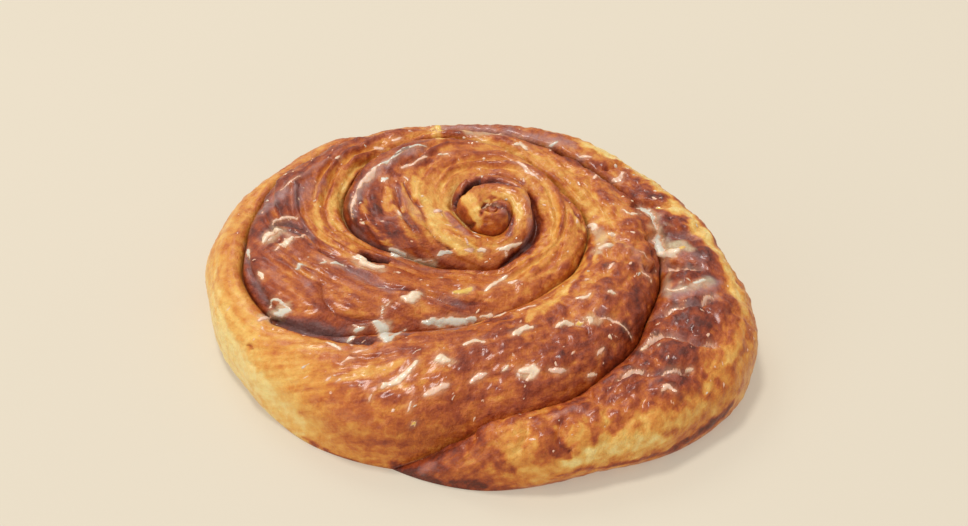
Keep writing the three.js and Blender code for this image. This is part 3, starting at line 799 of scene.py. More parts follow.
# ---- The crust's surface ----
class Crust:
    """The strip's surface as a grid: one column for each winding angle, one row for each place across."""

    def __init__(self):
        self.inner_angle = EYE_ANGLE + TURN
        self.angle = np.concatenate([
            column_angles(EYE_ANGLE, self.inner_angle, COLUMN_STEP),
            column_angles(self.inner_angle, TAIL_ANGLE, COLUMN_STEP),
            column_angles(TAIL_ANGLE, END_ANGLE, COLUMN_STEP),
            [END_ANGLE],
        ])
        radius, height = sections(self.angle)
        steps = np.hypot(np.diff(radius, axis=1), np.diff(height, axis=1))
        length = np.hstack([np.zeros((len(steps), 1)), np.cumsum(steps, axis=1)])
        self.width = length[:, -1]
        crest = length[:, SECTION_STEPS]
        wall = length[:, 2 * SECTION_STEPS]
        share = np.linspace(0, 1, ROWS + 1)
        self.across = self.width[:, None] * share
        shape = self.across.shape
        grid_r, grid_z = np.zeros(shape), np.zeros(shape)
        # -1 in the inner groove, 0 on the crest, 1 in the outer groove or at the wall, 2 at the foot
        self.flank = np.zeros(shape)
        for i in range(shape[0]):
            grid_r[i] = np.interp(self.across[i], length[i], radius[i])
            grid_z[i] = np.interp(self.across[i], length[i], height[i])
            marks = (0, crest[i], max(wall[i], crest[i]), max(self.width[i], wall[i]))
            self.flank[i] = np.interp(self.across[i], marks, (-1, 0, 1, 2))
        self.share = np.broadcast_to(share, shape)
        azimuth = np.radians(180 - self.angle)[:, None]
        self.points = np.stack([grid_r * np.cos(azimuth), grid_r * np.sin(azimuth), grid_z], axis=-1)
        self.middle = self.box_middle()
        middle = np.maximum(grid_r[:, ROWS // 2], 1)
        turned = np.radians(np.diff(self.angle, prepend=self.angle[0]))
        self.along = np.cumsum(turned * middle)
        self.shape = shape

    def box_middle(self):
        low = self.points.min(axis=(0, 1))
        high = self.points.max(axis=(0, 1))
        return ((low + high) / 2)[:2]

    def normals(self):
        along = np.gradient(self.points, axis=0)
        across = np.gradient(self.points, axis=1)
        normal = np.cross(along, across)
        size = np.linalg.norm(normal, axis=-1, keepdims=True)
        return normal / np.maximum(size, 1e-9)

    def strip_points(self, along_length, across_length):
        """Points on the unrolled strip, squeezed so that one unit is these lengths along and across."""
        along = np.broadcast_to((self.along / along_length)[:, None], self.shape)
        across = self.across / across_length
        return np.stack([along, across, np.zeros(self.shape)], axis=-1)

    def strength(self, table, turn=0):
        places, values = zip(*table)
        return np.interp(self.angle + turn, places, values)[:, None]

    def triangles(self):
        """Vertex triples of the surface, its outer rows zipped to the next turn's first row."""
        columns = np.arange(len(self.angle) - 1)
        rows = ROWS + 1
        quads = []
        for on_wall in (False, True):
            chosen = columns[(self.angle[columns] >= TAIL_ANGLE) == on_wall]
            across = np.arange(ROWS if on_wall else ROWS - 1)
            corner = (chosen[:, None] * rows + across).ravel()
            quads.append(np.stack([corner, corner + rows, corner + rows + 1], axis=1))
            quads.append(np.stack([corner, corner + rows + 1, corner + 1], axis=1))
        outer = np.nonzero(self.angle <= TAIL_ANGLE)[0]
        inner = np.nonzero(self.angle >= self.inner_angle)[0]
        seam = zip_rows(self.angle[outer], outer * rows + ROWS - 1, self.angle[inner] - TURN, inner * rows)
        return np.concatenate([*quads, seam])


def zip_rows(first_places, first, second_places, second):
    """Triangles between two rows of vertices that run side by side."""
    found = []
    i = j = 0
    while i < len(first) - 1 or j < len(second) - 1:
        second_done = j == len(second) - 1
        if second_done or (i < len(first) - 1 and first_places[i + 1] <= second_places[j + 1]):
            found.append((first[i], first[i + 1], second[j]))
            i += 1
        else:
            found.append((first[i], second[j + 1], second[j]))
            j += 1
    return np.array(found)


# ---- The photo's view, and marks that are placed by its pixels ----
class PhotoView:
    """The camera's place and axes, and where the crust is seen from it."""

    def __init__(self, middle):
        """Takes the middle of the crust's box, from the swirl's eye."""
        self.focal = PHOTO_WIDTH * CAMERA_LENS / CAMERA_SENSOR
        elevation = math.radians(CAMERA_ELEVATION)
        back = np.array([0, -math.cos(elevation), math.sin(elevation)])
        up = np.cross(back, [1, 0, 0])
        pitch = math.atan2(AIM_PIXEL[1] - PHOTO_HEIGHT / 2, self.focal)
        yaw = math.atan2(AIM_PIXEL[0] - PHOTO_WIDTH / 2, self.focal)
        level = -back * math.cos(pitch) + up * math.sin(pitch)
        self.up = up * math.cos(pitch) + back * math.sin(pitch)
        self.forward = level * math.cos(yaw) - np.array([1, 0, 0]) * math.sin(yaw)
        self.right = np.cross(self.forward, self.up)
        self.place = np.array([-EYE_IN_VIEW[0], -EYE_IN_VIEW[1], 0]) + back * self.focal / PIXELS_PER_MM
        self.shift = np.array([*middle, 0])

    def watch(self, crust):
        """Finds which of the crust's points the camera sees, and at which pixels."""
        points = crust.points.reshape(-1, 3)
        normals = crust.normals().reshape(-1, 3)
        seen_from = self.place - points
        depth = -seen_from @ self.forward
        x = PHOTO_WIDTH / 2 - self.focal * (seen_from @ self.right) / depth
        y = PHOTO_HEIGHT / 2 + self.focal * (seen_from @ self.up) / depth
        cell = np.floor(x / CELL_PIXELS).astype(int) + CELLS_IN_ROW * np.floor(y / CELL_PIXELS).astype(int)
        nearest = np.full(cell.max() + 1, np.inf)
        np.minimum.at(nearest, cell, depth)
        seen = (np.sum(seen_from * normals, axis=1) > 0) & (depth < nearest[cell] + SEEN_DEPTH)
        self.points = points[seen]
        self.pixels = np.stack([x, y], axis=1)[seen]

    def on_crust(self, pixel):
        away = np.sum((self.pixels - np.array(pixel)) ** 2, axis=1)
        return self.points[np.argmin(away)]

    def line(self, pixels):
        """Points on a smooth line over the crust through the pixels."""
        corners = np.array([self.on_crust(pixel) for pixel in pixels])
        length = np.sum(np.linalg.norm(np.diff(corners, axis=0), axis=1))
        places = np.linspace(0, len(corners) - 1, max(2, math.ceil(length / LINE_STEP)))
        places[-1] -= 1e-6
        return np.stack([along_values(corners[:, k], places) for k in range(3)], axis=1)

    def add_camera(self):
        data = bpy.data.cameras.new("camera")
        data.lens = CAMERA_LENS
        data.sensor_width = CAMERA_SENSOR
        data.sensor_fit = "HORIZONTAL"
        data.clip_start = 0.01
        data.clip_end = 20
        camera = bpy.data.objects.new("camera", data)
        axes = Matrix((Vector(self.right), Vector(self.up), Vector(-self.forward))).transposed()
        place = Vector((self.place - self.shift) * MM)
        camera.matrix_world = Matrix.Translation(place) @ axes.to_4x4()
        bpy.context.scene.collection.objects.link(camera)
        bpy.context.scene.camera = camera


def near_line(points, line, half_width, taper=0.5, reach=2.0):
    """The points near a line and how many half widths they are from it; it narrows towards its ends."""
    edge = reach * half_width
    inside = np.all((points > line.min(axis=0) - edge) & (points < line.max(axis=0) + edge), axis=1)
    chosen = np.nonzero(inside)[0]
    away = np.linalg.norm(points[chosen, None] - line[None], axis=2)
    nearest = np.argmin(away, axis=1)
    share = nearest / (len(line) - 1)
    width = half_width * (1 - taper * np.abs(2 * share - 1) ** 2)
    return chosen, away[np.arange(len(chosen)), nearest] / width


def add_folds(view, points):
    """Depth of the folds at each point, and how much painted shade darkens them."""
    depth, dark = np.zeros(len(points)), np.zeros(len(points))
    for fold_depth, half_width, darker, *pixels in FOLDS:
        chosen, away = near_line(points, view.line(pixels), half_width)
        profile = np.exp(-away ** 2)
        depth[chosen] += fold_depth * profile
        dark[chosen] += darker * profile
    return depth, dark


def soft_mark(view, points, pixels, half_width, edge_noise, edge, reach=2.0):
    """The points near a mark and how far they are inside its ragged edge, from 0 to 1."""
    raggedness, outermost, whole = edge
    chosen, away = near_line(points, view.line(pixels), half_width, MARK_TAPER, reach)
    away = away * (1 + raggedness * edge_noise[chosen])
    return chosen, smoothstep(-away, -outermost, -whole)


def spread_tones(view, points, bake, edge_noise):
    """Draws the baking at each point towards the tones marked on the crust."""
    bake = bake.copy()
    for tone, half_width, *pixels in TONES:
        chosen, share = soft_mark(view, points, pixels, half_width, edge_noise, TONE_EDGE)
        bake[chosen] += (tone - bake[chosen]) * (TONE_SHARE * share)
    return bake


def spread_marks(view, points, marks, edge_noise, edge, reach=2.0):
    """The strongest mark at each point. A mark is its strength, its half width and its pixels."""
    found = np.zeros(len(points))
    for strength, half_width, *pixels in marks:
        chosen, share = soft_mark(view, points, pixels, half_width, edge_noise, edge, reach)
        found[chosen] = np.maximum(found[chosen], strength * share)
    return found


def halos():
    """Marks where the edges of the glaze run out thinly over the crust."""
    return [(min(1, HALO_STRENGTH + height), half_width + HALO_WIDTH, *pixels)
            for _, height, half_width, *pixels in GLAZE]


def relief(crust):
    """Height of the relief above the plain strip, the stripes of its layers and how blistered it is."""
    lumps, ledges, blisters = Noise(1), Noise(2), Noise(3)
    points = crust.points
    fade = smoothstep(crust.share, 0, EDGE_FADE) * smoothstep(1 - crust.share, 0, EDGE_FADE)
    size = np.clip(crust.width / FULL_RELIEF_WIDTH, 0, 1)[:, None]

    lump = LUMP_HEIGHT * lumps.smooth(points, LUMP_LENGTH)

    drift = ledges.smooth(crust.strip_points(*LEDGE_DRIFT_LENGTHS), 1)
    waver = ledges.smooth(crust.strip_points(*LEDGE_WAVER_LENGTHS), 1)
    place = crust.across / LEDGE_PITCH + LEDGE_DRIFT * drift + LEDGE_WAVER * waver
    step = place % 1
    rising, falling = smoothstep(step, 0, LEDGE_RISE), smoothstep(1 - step, 0, LEDGE_FALL)
    saw = np.where(step < 1 - LEDGE_FALL, rising, falling)
    breaks = ledges.smooth(crust.strip_points(*LEDGE_BREAK_LENGTHS) + 50, 1)
    unbroken = smoothstep(breaks, *UNBROKEN_NOISE)
    inside = smoothstep(-crust.flank, *INNER_FLANK)
    ledge_strength = crust.strength(LEDGE_STRENGTH) * lerp(BROKEN_LEDGE_SHARE, 1, unbroken)
    ledge_strength = ledge_strength * lerp(OUTER_LEDGE_SHARE, 1, inside)
    ledge = LEDGE_HEIGHT * ledge_strength * (saw - 0.5)

    towards_wall = smoothstep(crust.flank, *WALL_FLANK)
    crown = smoothstep(crust.flank, *CROWN_FLANK) * (1 - WALL_SMOOTHING * towards_wall)
    blister_strength = crust.strength(BLISTER_STRENGTH) * crown
    warped = points + BLISTER_WARP * blisters.apart(points, BLISTER_WARP_LENGTH)
    dome = 0
    for length, height in zip(BLISTER_LENGTHS, BLISTER_HEIGHTS):
        bulge = np.minimum(np.abs(blisters.smooth(warped, length)), BLISTER_CUT)
        dome = dome + height * (bulge - BLISTER_MIDDLE)
    blister = blister_strength * dome

    grain = GRAIN_HEIGHT * lumps.layered(points, GRAIN_LENGTH, 2)
    height = fade * size * (lump + ledge + blister + grain)
    return height, (saw - 0.5) * ledge_strength, dome * blister_strength


def groove_closeness(crust):
    """The groove's strength in it, falling to 0 beside it, with no groove at the foot."""
    inner = np.exp(-((crust.across / GROOVE_WIDTH) ** 2))
    outer = np.exp(-(((crust.width[:, None] - crust.across) / GROOVE_WIDTH) ** 2))
    outer = outer * (1 - smoothstep(crust.angle, LAST_HOUR_ANGLE, TAIL_ANGLE))[:, None]
    inner = inner * (1 - smoothstep(crust.angle, END_ANGLE - GROOVE_END_FADE, END_ANGLE))[:, None]
    inner = inner * crust.strength(GROOVE_STRENGTH, -TURN)
    outer = outer * crust.strength(GROOVE_STRENGTH)
    return np.maximum(inner, outer)


def strip_bake(crust):
    """How far the plain strip is baked: along it by the table's rows, across it by its columns."""
    bake = np.zeros(crust.shape)
    table = between_rows(BAKE, crust.angle)
    for k in range(len(BAKE_PLACES) - 1):
        low, high = BAKE_PLACES[k], BAKE_PLACES[k + 1]
        within = (crust.flank >= low) & (crust.flank <= high)
        share = smoothstep(crust.flank, low, high)
        bake = np.where(within, lerp(table[k][:, None], table[k + 1][:, None], share), bake)
    return bake


def finish_crust(crust, view):
    """Adds the relief to the strip and works out what the materials read at each point."""
    drift, tint = Noise(4), Noise(5)
    above_foot = smoothstep(crust.points[..., 2], 0, DRIFT_FULL_HEIGHT)[..., None]
    crust.points += DRIFT * above_foot * drift.apart(crust.points, DRIFT_LENGTH)
    view.watch(crust)
    crust.plain = crust.points.copy()
    flat = crust.plain.reshape(-1, 3)
    edge_noise = tint.layered(flat, EDGE_NOISE_LENGTH, 2)
    warped = flat + TONE_WARP * tint.apart(flat, TONE_WARP_LENGTH)

    height, stripe, dome = relief(crust)
    fold_depth, fold_dark = (values.reshape(crust.shape) for values in add_folds(view, flat))
    height = height - np.minimum(fold_depth, FOLD_ALONG_NORMAL)
    drop = np.maximum(fold_depth - FOLD_ALONG_NORMAL, 0)
    closeness = groove_closeness(crust)
    uneven = GROOVE_DROP_SHARE + GROOVE_UNEVENNESS * drift.smooth(crust.plain, GROOVE_UNEVEN_LENGTH)
    drop = drop + GROOVE_DROP * closeness * np.clip(uneven, *GROOVE_UNEVEN_RANGE)
    drop = drop * smoothstep(crust.plain[..., 2], *DROP_HEIGHTS)
    crust.points = crust.plain + crust.normals() * height[..., None]
    crust.points[..., 2] -= drop
    # The first column lies in one point. The next ones start at their own heights above the eye, so
    # the mesh keeps a small opening there.
    crust.points[0] = crust.points[0].mean(axis=0)

    bake = strip_bake(crust) + STRIPE_BAKE * stripe + DOME_BAKE * dome
    clouds = tint.layered(crust.plain, CLOUD_LENGTH)
    streaks = tint.layered(crust.strip_points(*STREAK_LENGTHS), 1)
    bake = bake + CLOUD_BAKE * clouds + STREAK_BAKE * streaks
    bake = spread_tones(view, warped, bake.ravel(), edge_noise).reshape(crust.shape)
    spotted = SPOT_BAKE + BLISTERED_SPOT_BAKE * crust.strength(BLISTER_STRENGTH)
    bake = bake + spotted * tint.layered(crust.plain + 90, SPOT_LENGTH, 2)
    # The folds' painted shade darkens the browning too.
    crust.bake = np.clip(bake + FOLD_SHADE_IN_BAKE * fold_dark, 0, 1)
    # The shade is painted shade in the grooves, folds and deep drops.
    deep = smoothstep(drop, *DARK_DROPS)
    crust.shade = np.clip(np.maximum.reduce([closeness, fold_dark - FOLD_SHADE_FROM, deep]), 0, 1)
    # Thin glaze films, partly a painted sheen along the ridges.
    crust.film = spread_marks(view, warped, FILMS_AND_SHEEN, edge_noise, FILM_EDGE)
    crust.pale = spread_marks(view, warped, PALE_FILMS, edge_noise, FILM_EDGE)
    crust.halo = spread_marks(view, flat, halos(), edge_noise, HALO_EDGE, HALO_REACH)


def base_mesh(crust, foot):
    """Points, baking and spoke angles of the flat underside inside the foot's ring of vertices."""
    rim = crust.points[foot, ROWS]
    middle = np.array([*rim[:, :2].mean(axis=0), 0])
    rim_angle = crust.angle[foot]
    spoke_angle = np.linspace(TAIL_ANGLE, END_ANGLE, BASE_SPOKES + 1)
    spokes = np.stack([np.interp(spoke_angle, rim_angle, rim[:, k]) for k in range(3)], axis=-1)
    inward = np.linspace(0, 1, BASE_RINGS + 1)[1:]
    points = lerp(spokes[None], middle, inward[:, None, None] ** RING_CROWDING)
    flat = points.reshape(-1, 3)
    away = np.hypot(flat[:, 0], flat[:, 1])
    turned = (180 - np.degrees(np.arctan2(flat[:, 1], flat[:, 0]))) % TURN
    gap = np.full(len(flat), np.inf)
    for turns in range(-1, 3):
        angle = turned + turns * TURN
        radius = groove_at(np.minimum(angle, TAIL_ANGLE))[0]
        gap = np.minimum(gap, np.where(angle > TAIL_ANGLE, np.inf, np.abs(away - radius)))
    crease = np.exp(-((gap / SEAM_WIDTH) ** 2))
    noise = Noise(7)
    pits = smoothstep(noise.smooth(flat, PIT_LENGTH), *PIT_NOISE)
    inner = np.repeat(smoothstep(inward, 0, FLAT_RIM_SHARE), len(spoke_angle))
    flat[:, 2] = inner * (SEAM_DEPTH * crease + PIT_DEPTH * pits)
    rings = flat.reshape(points.shape)
    rings[:, -1] = rings[:, 0]  # the last spoke is the first one again
    clouds = noise.layered(flat, BASE_CLOUD_LENGTH)
    bake = BASE_BAKE + BASE_CLOUDS * clouds - PIT_PALER * pits + SEAM_DARKER * crease
    return flat, np.clip(bake, 0, 1), spoke_angle


def crust_piece(crust, shift):
    """The roll as one mesh, with its attributes."""
    foot = np.nonzero(crust.angle >= TAIL_ANGLE)[0]
    rows = ROWS + 1
    points = crust.points.reshape(-1, 3)
    triangles = [crust.triangles()]
    base, base_bake, spoke_angle = base_mesh(crust, foot)
    start = len(points)
    spokes = len(spoke_angle)
    first_ring = start + np.arange(spokes)
    triangles.append(zip_rows(crust.angle[foot], foot * rows + ROWS, spoke_angle, first_ring))
    corner = (start + np.arange(BASE_RINGS - 1)[:, None] * spokes + np.arange(spokes - 1)).ravel()
    triangles.append(np.stack([corner, corner + 1, corner + spokes + 1], axis=1))
    triangles.append(np.stack([corner, corner + spokes + 1, corner + spokes], axis=1))
    points = np.concatenate([points, base])
    nothing = np.zeros(len(base))
    values = {"bake": np.concatenate([crust.bake.ravel(), base_bake])}
    for name in ("shade", "film", "pale", "halo"):
        values[name] = np.concatenate([getattr(crust, name).ravel(), nothing])
    values["along"] = np.concatenate([np.repeat(crust.along, rows), base[:, 0]])
    values["across"] = np.concatenate([crust.across.ravel(), base[:, 1]])
    return joined_mesh("crust", points, np.concatenate(triangles), values, shift)


def joined_mesh(name, points, triangles, values, shift):
    """A mesh object in metres, with points in one place merged and lost triangles dropped."""
    placed = points - shift
    _, first, same = np.unique(
        np.round(placed, MERGE_DECIMALS), axis=0, return_index=True, return_inverse=True)
    same = same.reshape(-1)[triangles]
    whole = (same[:, 0] != same[:, 1]) & (same[:, 1] != same[:, 2]) & (same[:, 2] != same[:, 0])
    kept, same = np.unique(same[whole], return_inverse=True)
    same = same.reshape(-1, 3)
    first = first[kept]
    mesh = bpy.data.meshes.new(name)
    mesh.vertices.add(len(first))
    mesh.vertices.foreach_set("co", (placed[first] * MM).ravel())
    mesh.loops.add(same.size)
    mesh.loops.foreach_set("vertex_index", same.ravel().astype(np.int32))
    mesh.polygons.add(len(same))
    mesh.polygons.foreach_set("loop_start", np.arange(0, same.size, 3, dtype=np.int32))
    mesh.polygons.foreach_set("use_smooth", np.ones(len(same), dtype=bool))
    mesh.update(calc_edges=True)
    for key, value in values.items():
        attribute = mesh.attributes.new(key, "FLOAT", "POINT")
        attribute.data.foreach_set("value", value[first].astype(np.float32))
    mesh.validate()
    piece = bpy.data.objects.new(name, mesh)
    bpy.context.scene.collection.objects.link(piece)
    return piece


# ---- Glaze ----
def finer(values, fineness):
    """A grid's values with fineness times as many steps each way."""
    for axis in (0, 1):
        count = values.shape[axis]
        place = np.linspace(0, count - 1, (count - 1) * fineness + 1)
        index = np.minimum(place.astype(int), count - 2)
        share = (place - index).reshape([-1 if k == axis else 1 for k in range(values.ndim)])
        values = lerp(np.take(values, index, axis=axis), np.take(values, index + 1, axis=axis), share)
    return values


def specks_and_glints(crust):
    """Short streaks of glaze scattered over the top, in the same form as the placed ones. They also stand
    for small glints of light, so they are partly painted highlights.
    """
    draw = np.random.default_rng(11)
    points = crust.plain.reshape(-1, 3)
    upright = crust.normals().reshape(-1, 3)[:, 2]
    share = crust.share.ravel()
    open_top = (upright > SPECK_UPRIGHT) & (share > SPECK_EDGE) & (share < 1 - SPECK_EDGE)
    along = np.gradient(crust.plain, axis=0).reshape(-1, 3)
    across = np.gradient(crust.plain, axis=1).reshape(-1, 3)
    found = []
    area = np.linalg.norm(np.cross(along, across), axis=1) * open_top
    for place in draw.choice(len(points), SPECKS_AND_GLINTS, p=area / area.sum()):
        turned = draw.uniform(0, math.pi)
        way = sum(side[place] / max(np.linalg.norm(side[place]), 1e-6) * part
                  for side, part in ((along, math.cos(turned)), (across, math.sin(turned))))
        steps = np.linspace(-0.5, 0.5, 5)[:, None] * draw.uniform(*SPECK_LENGTH) * draw.uniform()
        line = points[place] + way * steps
        kind = draw.choice(SPECK_KINDS)
        height = draw.uniform(*SPECK_HEIGHT)
        half_width = draw.uniform(*SPECK_HALF_WIDTH)
        found.append((kind, height, half_width, line))
    return found


def glaze_piece(crust, view, shift):
    """The glaze that stands on the crust, as closed drops and streaks."""
    noise = Noise(8)
    plain = finer(crust.plain, GLAZE_FINENESS)
    shape = plain.shape[:2]
    points = plain.reshape(-1, 3)
    ragged = noise.layered(points, GLAZE_RAGGED_LENGTH, 2)
    warped = points + GLAZE_WARP * noise.apart(points, GLAZE_WARP_LENGTH)
    thickness, cover = np.zeros(len(points)), np.zeros(len(points))
    kind = np.full(len(points), CREAM)
    streaks = [(*mark[:3], view.line(mark[3:])) for mark in GLAZE] + specks_and_glints(crust)
    for tint, height, half_width, line in streaks:
        chosen, away = near_line(warped, line, half_width, GLAZE_TAPER, GLAZE_REACH)
        away = away * (1 + GLAZE_RAGGEDNESS * ragged[chosen])
        crown = np.clip(1 - away ** 2, 0, 1)
        raised = GLAZE_SHARE * height * crown ** GLAZE_ROUNDNESS
        higher = raised > thickness[chosen]
        thickness[chosen[higher]] = raised[higher]
        cover[chosen[higher]] = crown[higher] * min(1, THINNEST_COVER + COVER_PER_MM * height)
        kind[chosen[higher]] = tint
    thickness = thickness * (1 + GLAZE_UNEVENNESS * noise.smooth(points + 20, GLAZE_UNEVEN_LENGTH))
    surface = finer(crust.points, GLAZE_FINENESS).reshape(-1, 3)
    normals = finer(crust.normals(), GLAZE_FINENESS).reshape(-1, 3)
    covered = thickness > 0
    rows = shape[1]
    corner = (np.arange(shape[0] - 1)[:, None] * rows + np.arange(rows - 1)).ravel()
    quads = np.stack([corner, corner + rows, corner + rows + 1, corner + 1], axis=1)
    quads = quads[covered[quads].any(axis=1)]
    used, place = np.unique(quads, return_inverse=True)
    quads = place.reshape(quads.shape)
    raise_by = np.where(covered[used], thickness[used], -GLAZE_SUNK)[:, None]
    top = surface[used] + normals[used] * raise_by
    root = surface[used] - normals[used] * GLAZE_ROOT
    count = len(used)
    faces = [quads[:, [0, 1, 2]], quads[:, [0, 2, 3]]]
    faces += [quads[:, [2, 1, 0]] + count, quads[:, [3, 2, 0]] + count]
    edges = np.concatenate([quads[:, [k, (k + 1) % 4]] for k in range(4)])
    back = set(map(tuple, edges[:, ::-1]))
    rim = np.array([edge for edge in map(tuple, edges) if edge not in back])
    faces.append(np.stack([rim[:, 1], rim[:, 0], rim[:, 0] + count], axis=1))
    faces.append(np.stack([rim[:, 1], rim[:, 0] + count, rim[:, 1] + count], axis=1))
    values = {"kind": np.tile(kind[used], 2), "cover": np.tile(cover[used], 2)}
    return joined_mesh("glaze", np.concatenate([top, root]), np.concatenate(faces), values, shift)


# ---- Materials ----
class Nodes:
    """Small helper for building a material's node tree."""

    def __init__(self, name):
        self.material = bpy.data.materials.new(name)
        self.material.use_nodes = True
        self.tree = self.material.node_tree
        self.shader = self.tree.nodes["Principled BSDF"]
        self.place = self.add("ShaderNodeTexCoord").outputs["Object"]

    def add(self, kind, **settings):
        node = self.tree.nodes.new(kind)
        for key, value in settings.items():
            setattr(node, key, value)
        return node

    def link(self, output, socket):
        self.tree.links.new(output, socket)

    def fill(self, socket, value):
        if isinstance(value, bpy.types.NodeSocket):
            self.link(value, socket)
        elif value is not None:
            socket.default_value = value

    def attribute(self, name):
        return self.add("ShaderNodeAttribute", attribute_name=name).outputs["Fac"]

    def math(self, operation, *values):
        node = self.add("ShaderNodeMath", operation=operation)
        for socket, value in zip(node.inputs, values):
            self.fill(socket, value)
        return node.outputs[0]

    def strip_place(self, stretch):
        """Place on the unrolled strip in millimetres, drawn out along it."""
        node = self.add("ShaderNodeCombineXYZ")
        self.link(self.math("DIVIDE", self.attribute("along"), stretch), node.inputs[0])
        self.link(self.attribute("across"), node.inputs[1])
        return node.outputs[0]

    def noise(self, scale, detail=3, roughness=0.55, distortion=0.0, place=None):
        node = self.add("ShaderNodeTexNoise")
        node.inputs["Scale"].default_value = scale
        node.inputs["Detail"].default_value = detail
        node.inputs["Roughness"].default_value = roughness
        node.inputs["Distortion"].default_value = distortion
        self.link(place or self.place, node.inputs["Vector"])
        return node.outputs["Fac"]

    def ramp(self, value, stops):
        node = self.add("ShaderNodeValToRGB")
        elements = node.color_ramp.elements
        while len(elements) < len(stops):
            elements.new(0.5)
        for element, (place, color) in zip(elements, stops):
            element.position = place
            element.color = color
        self.link(value, node.inputs["Fac"])
        return node.outputs["Color"]

    def mix(self, share, first, second):
        node = self.add("ShaderNodeMix", data_type="RGBA")
        self.fill(node.inputs["Factor"], share)
        self.fill(node.inputs[6], first)
        self.fill(node.inputs[7], second)
        return node.outputs[2]

    def bump(self, height, strength, distance):
        node = self.add("ShaderNodeBump")
        node.inputs["Strength"].default_value = strength
        node.inputs["Distance"].default_value = distance
        self.link(height, node.inputs["Height"])
        return node.outputs["Normal"]

    def settle(self, **values):
        """Sets the shader's inputs of these names, with spaces for the underscores."""
        for name, value in values.items():
            self.shader.inputs[name.replace("_", " ")].default_value = value

    def vary(self, value, noise, amount):
        """The value with the noise added, from minus to plus half the amount."""
        return self.math("MULTIPLY_ADD", self.math("SUBTRACT", noise, 0.5), amount, value)


BAKE_COLORS = [
    (0.0, srgb(255, 226, 148)),
    (0.18, srgb(244, 190, 98)),
    (0.36, srgb(228, 152, 64)),
    (0.54, srgb(202, 109, 41)),
    (0.72, srgb(166, 73, 29)),
    (0.88, srgb(132, 51, 24)),
    (1.0, srgb(98, 36, 18)),
]
# Dark brown of the cinnamon filling in the grooves, which also serves as painted shade in the grooves,
# folds and pits.
GROOVE_FILLING_AND_SHADE_COLOR = srgb(64, 22, 12)
# Lilac of the thin glaze film, partly a painted sheen along the ridges.
FILM_AND_SHEEN_COLOR = srgb(196, 160, 156)
PALE_FILM_COLOR = srgb(228, 212, 170)
HALO_COLOR = srgb(240, 192, 148)
THIN_GLAZE_COLOR = srgb(214, 138, 86)
GLAZE_COLORS = [
    (YELLOW, srgb(238, 198, 96)),
    (PINK, srgb(246, 204, 178)),
    (CREAM, srgb(248, 220, 188)),
    (COOL, srgb(222, 216, 198)),
]
# The floor is toned down to this share of its colour and glows in it, so that shadows stay light.
FLOOR_COLOR = (235, 223, 201)
FLOOR_SHARE = 0.765
FLOOR_GLOW = 0.71
LIGHTER_PATCHES = 1.01


# Scales of noise are in cells per metre, but for the streaks', which are per millimetre of the strip.
def crust_material():
    nodes = Nodes("crust")
    fine = nodes.noise(1500, detail=4, roughness=0.65)
    middle = nodes.noise(620, detail=3, roughness=0.6, distortion=0.6)
    coarse = nodes.noise(260, detail=3, roughness=0.5)
    baked = nodes.attribute("bake")
    dappled = nodes.math("MINIMUM", nodes.math("MULTIPLY_ADD", baked, 1.2, 0.35), 1.0)
    drawn_out = nodes.strip_place(stretch=3.2)
    streaks = nodes.noise(0.8, detail=4, roughness=0.6, distortion=0.3, place=drawn_out)
    for noise, amount in ((fine, 0.22), (middle, 0.38), (streaks, 0.4), (coarse, 0.14)):
        baked = nodes.vary(baked, noise, nodes.math("MULTIPLY", dappled, amount))
    color = nodes.ramp(baked, BAKE_COLORS)
    # Painted shade in the grooves, folds and deep drops, with the dark cinnamon filling in the grooves.
    color = nodes.mix(nodes.math("MULTIPLY", nodes.attribute("shade"), 0.85), color, GROOVE_FILLING_AND_SHADE_COLOR)
    # Thin glaze film, partly a painted sheen along the ridges.
    film = nodes.math("MULTIPLY", nodes.attribute("film"), nodes.math("MULTIPLY_ADD", middle, 0.9, 0.1))
    color = nodes.mix(nodes.math("MULTIPLY", film, 0.85), color, FILM_AND_SHEEN_COLOR)
    pale = nodes.math("MULTIPLY", nodes.attribute("pale"), nodes.math("MULTIPLY_ADD", middle, 1.0, 0.25))
    color = nodes.mix(pale, color, PALE_FILM_COLOR)
    halo = nodes.math("MULTIPLY", nodes.attribute("halo"), nodes.math("MULTIPLY_ADD", fine, 0.6, 0.3))
    nodes.link(nodes.mix(halo, color, HALO_COLOR), nodes.shader.inputs["Base Color"])
    rough = nodes.vary(nodes.math("MULTIPLY_ADD", film, -0.15, 0.42), coarse, 0.35)
    nodes.link(rough, nodes.shader.inputs["Roughness"])
    nodes.settle(Specular_IOR_Level=0.26, Coat_Weight=0.32, Coat_Roughness=0.19)
    nodes.settle(Subsurface_Weight=0.08, Subsurface_Radius=(0.0025, 0.0012, 0.0006))
    uneven = nodes.math("ADD", nodes.noise(1400, detail=4, roughness=0.6), middle)
    nodes.link(nodes.bump(uneven, strength=0.75, distance=0.0005), nodes.shader.inputs["Normal"])
    return nodes.material


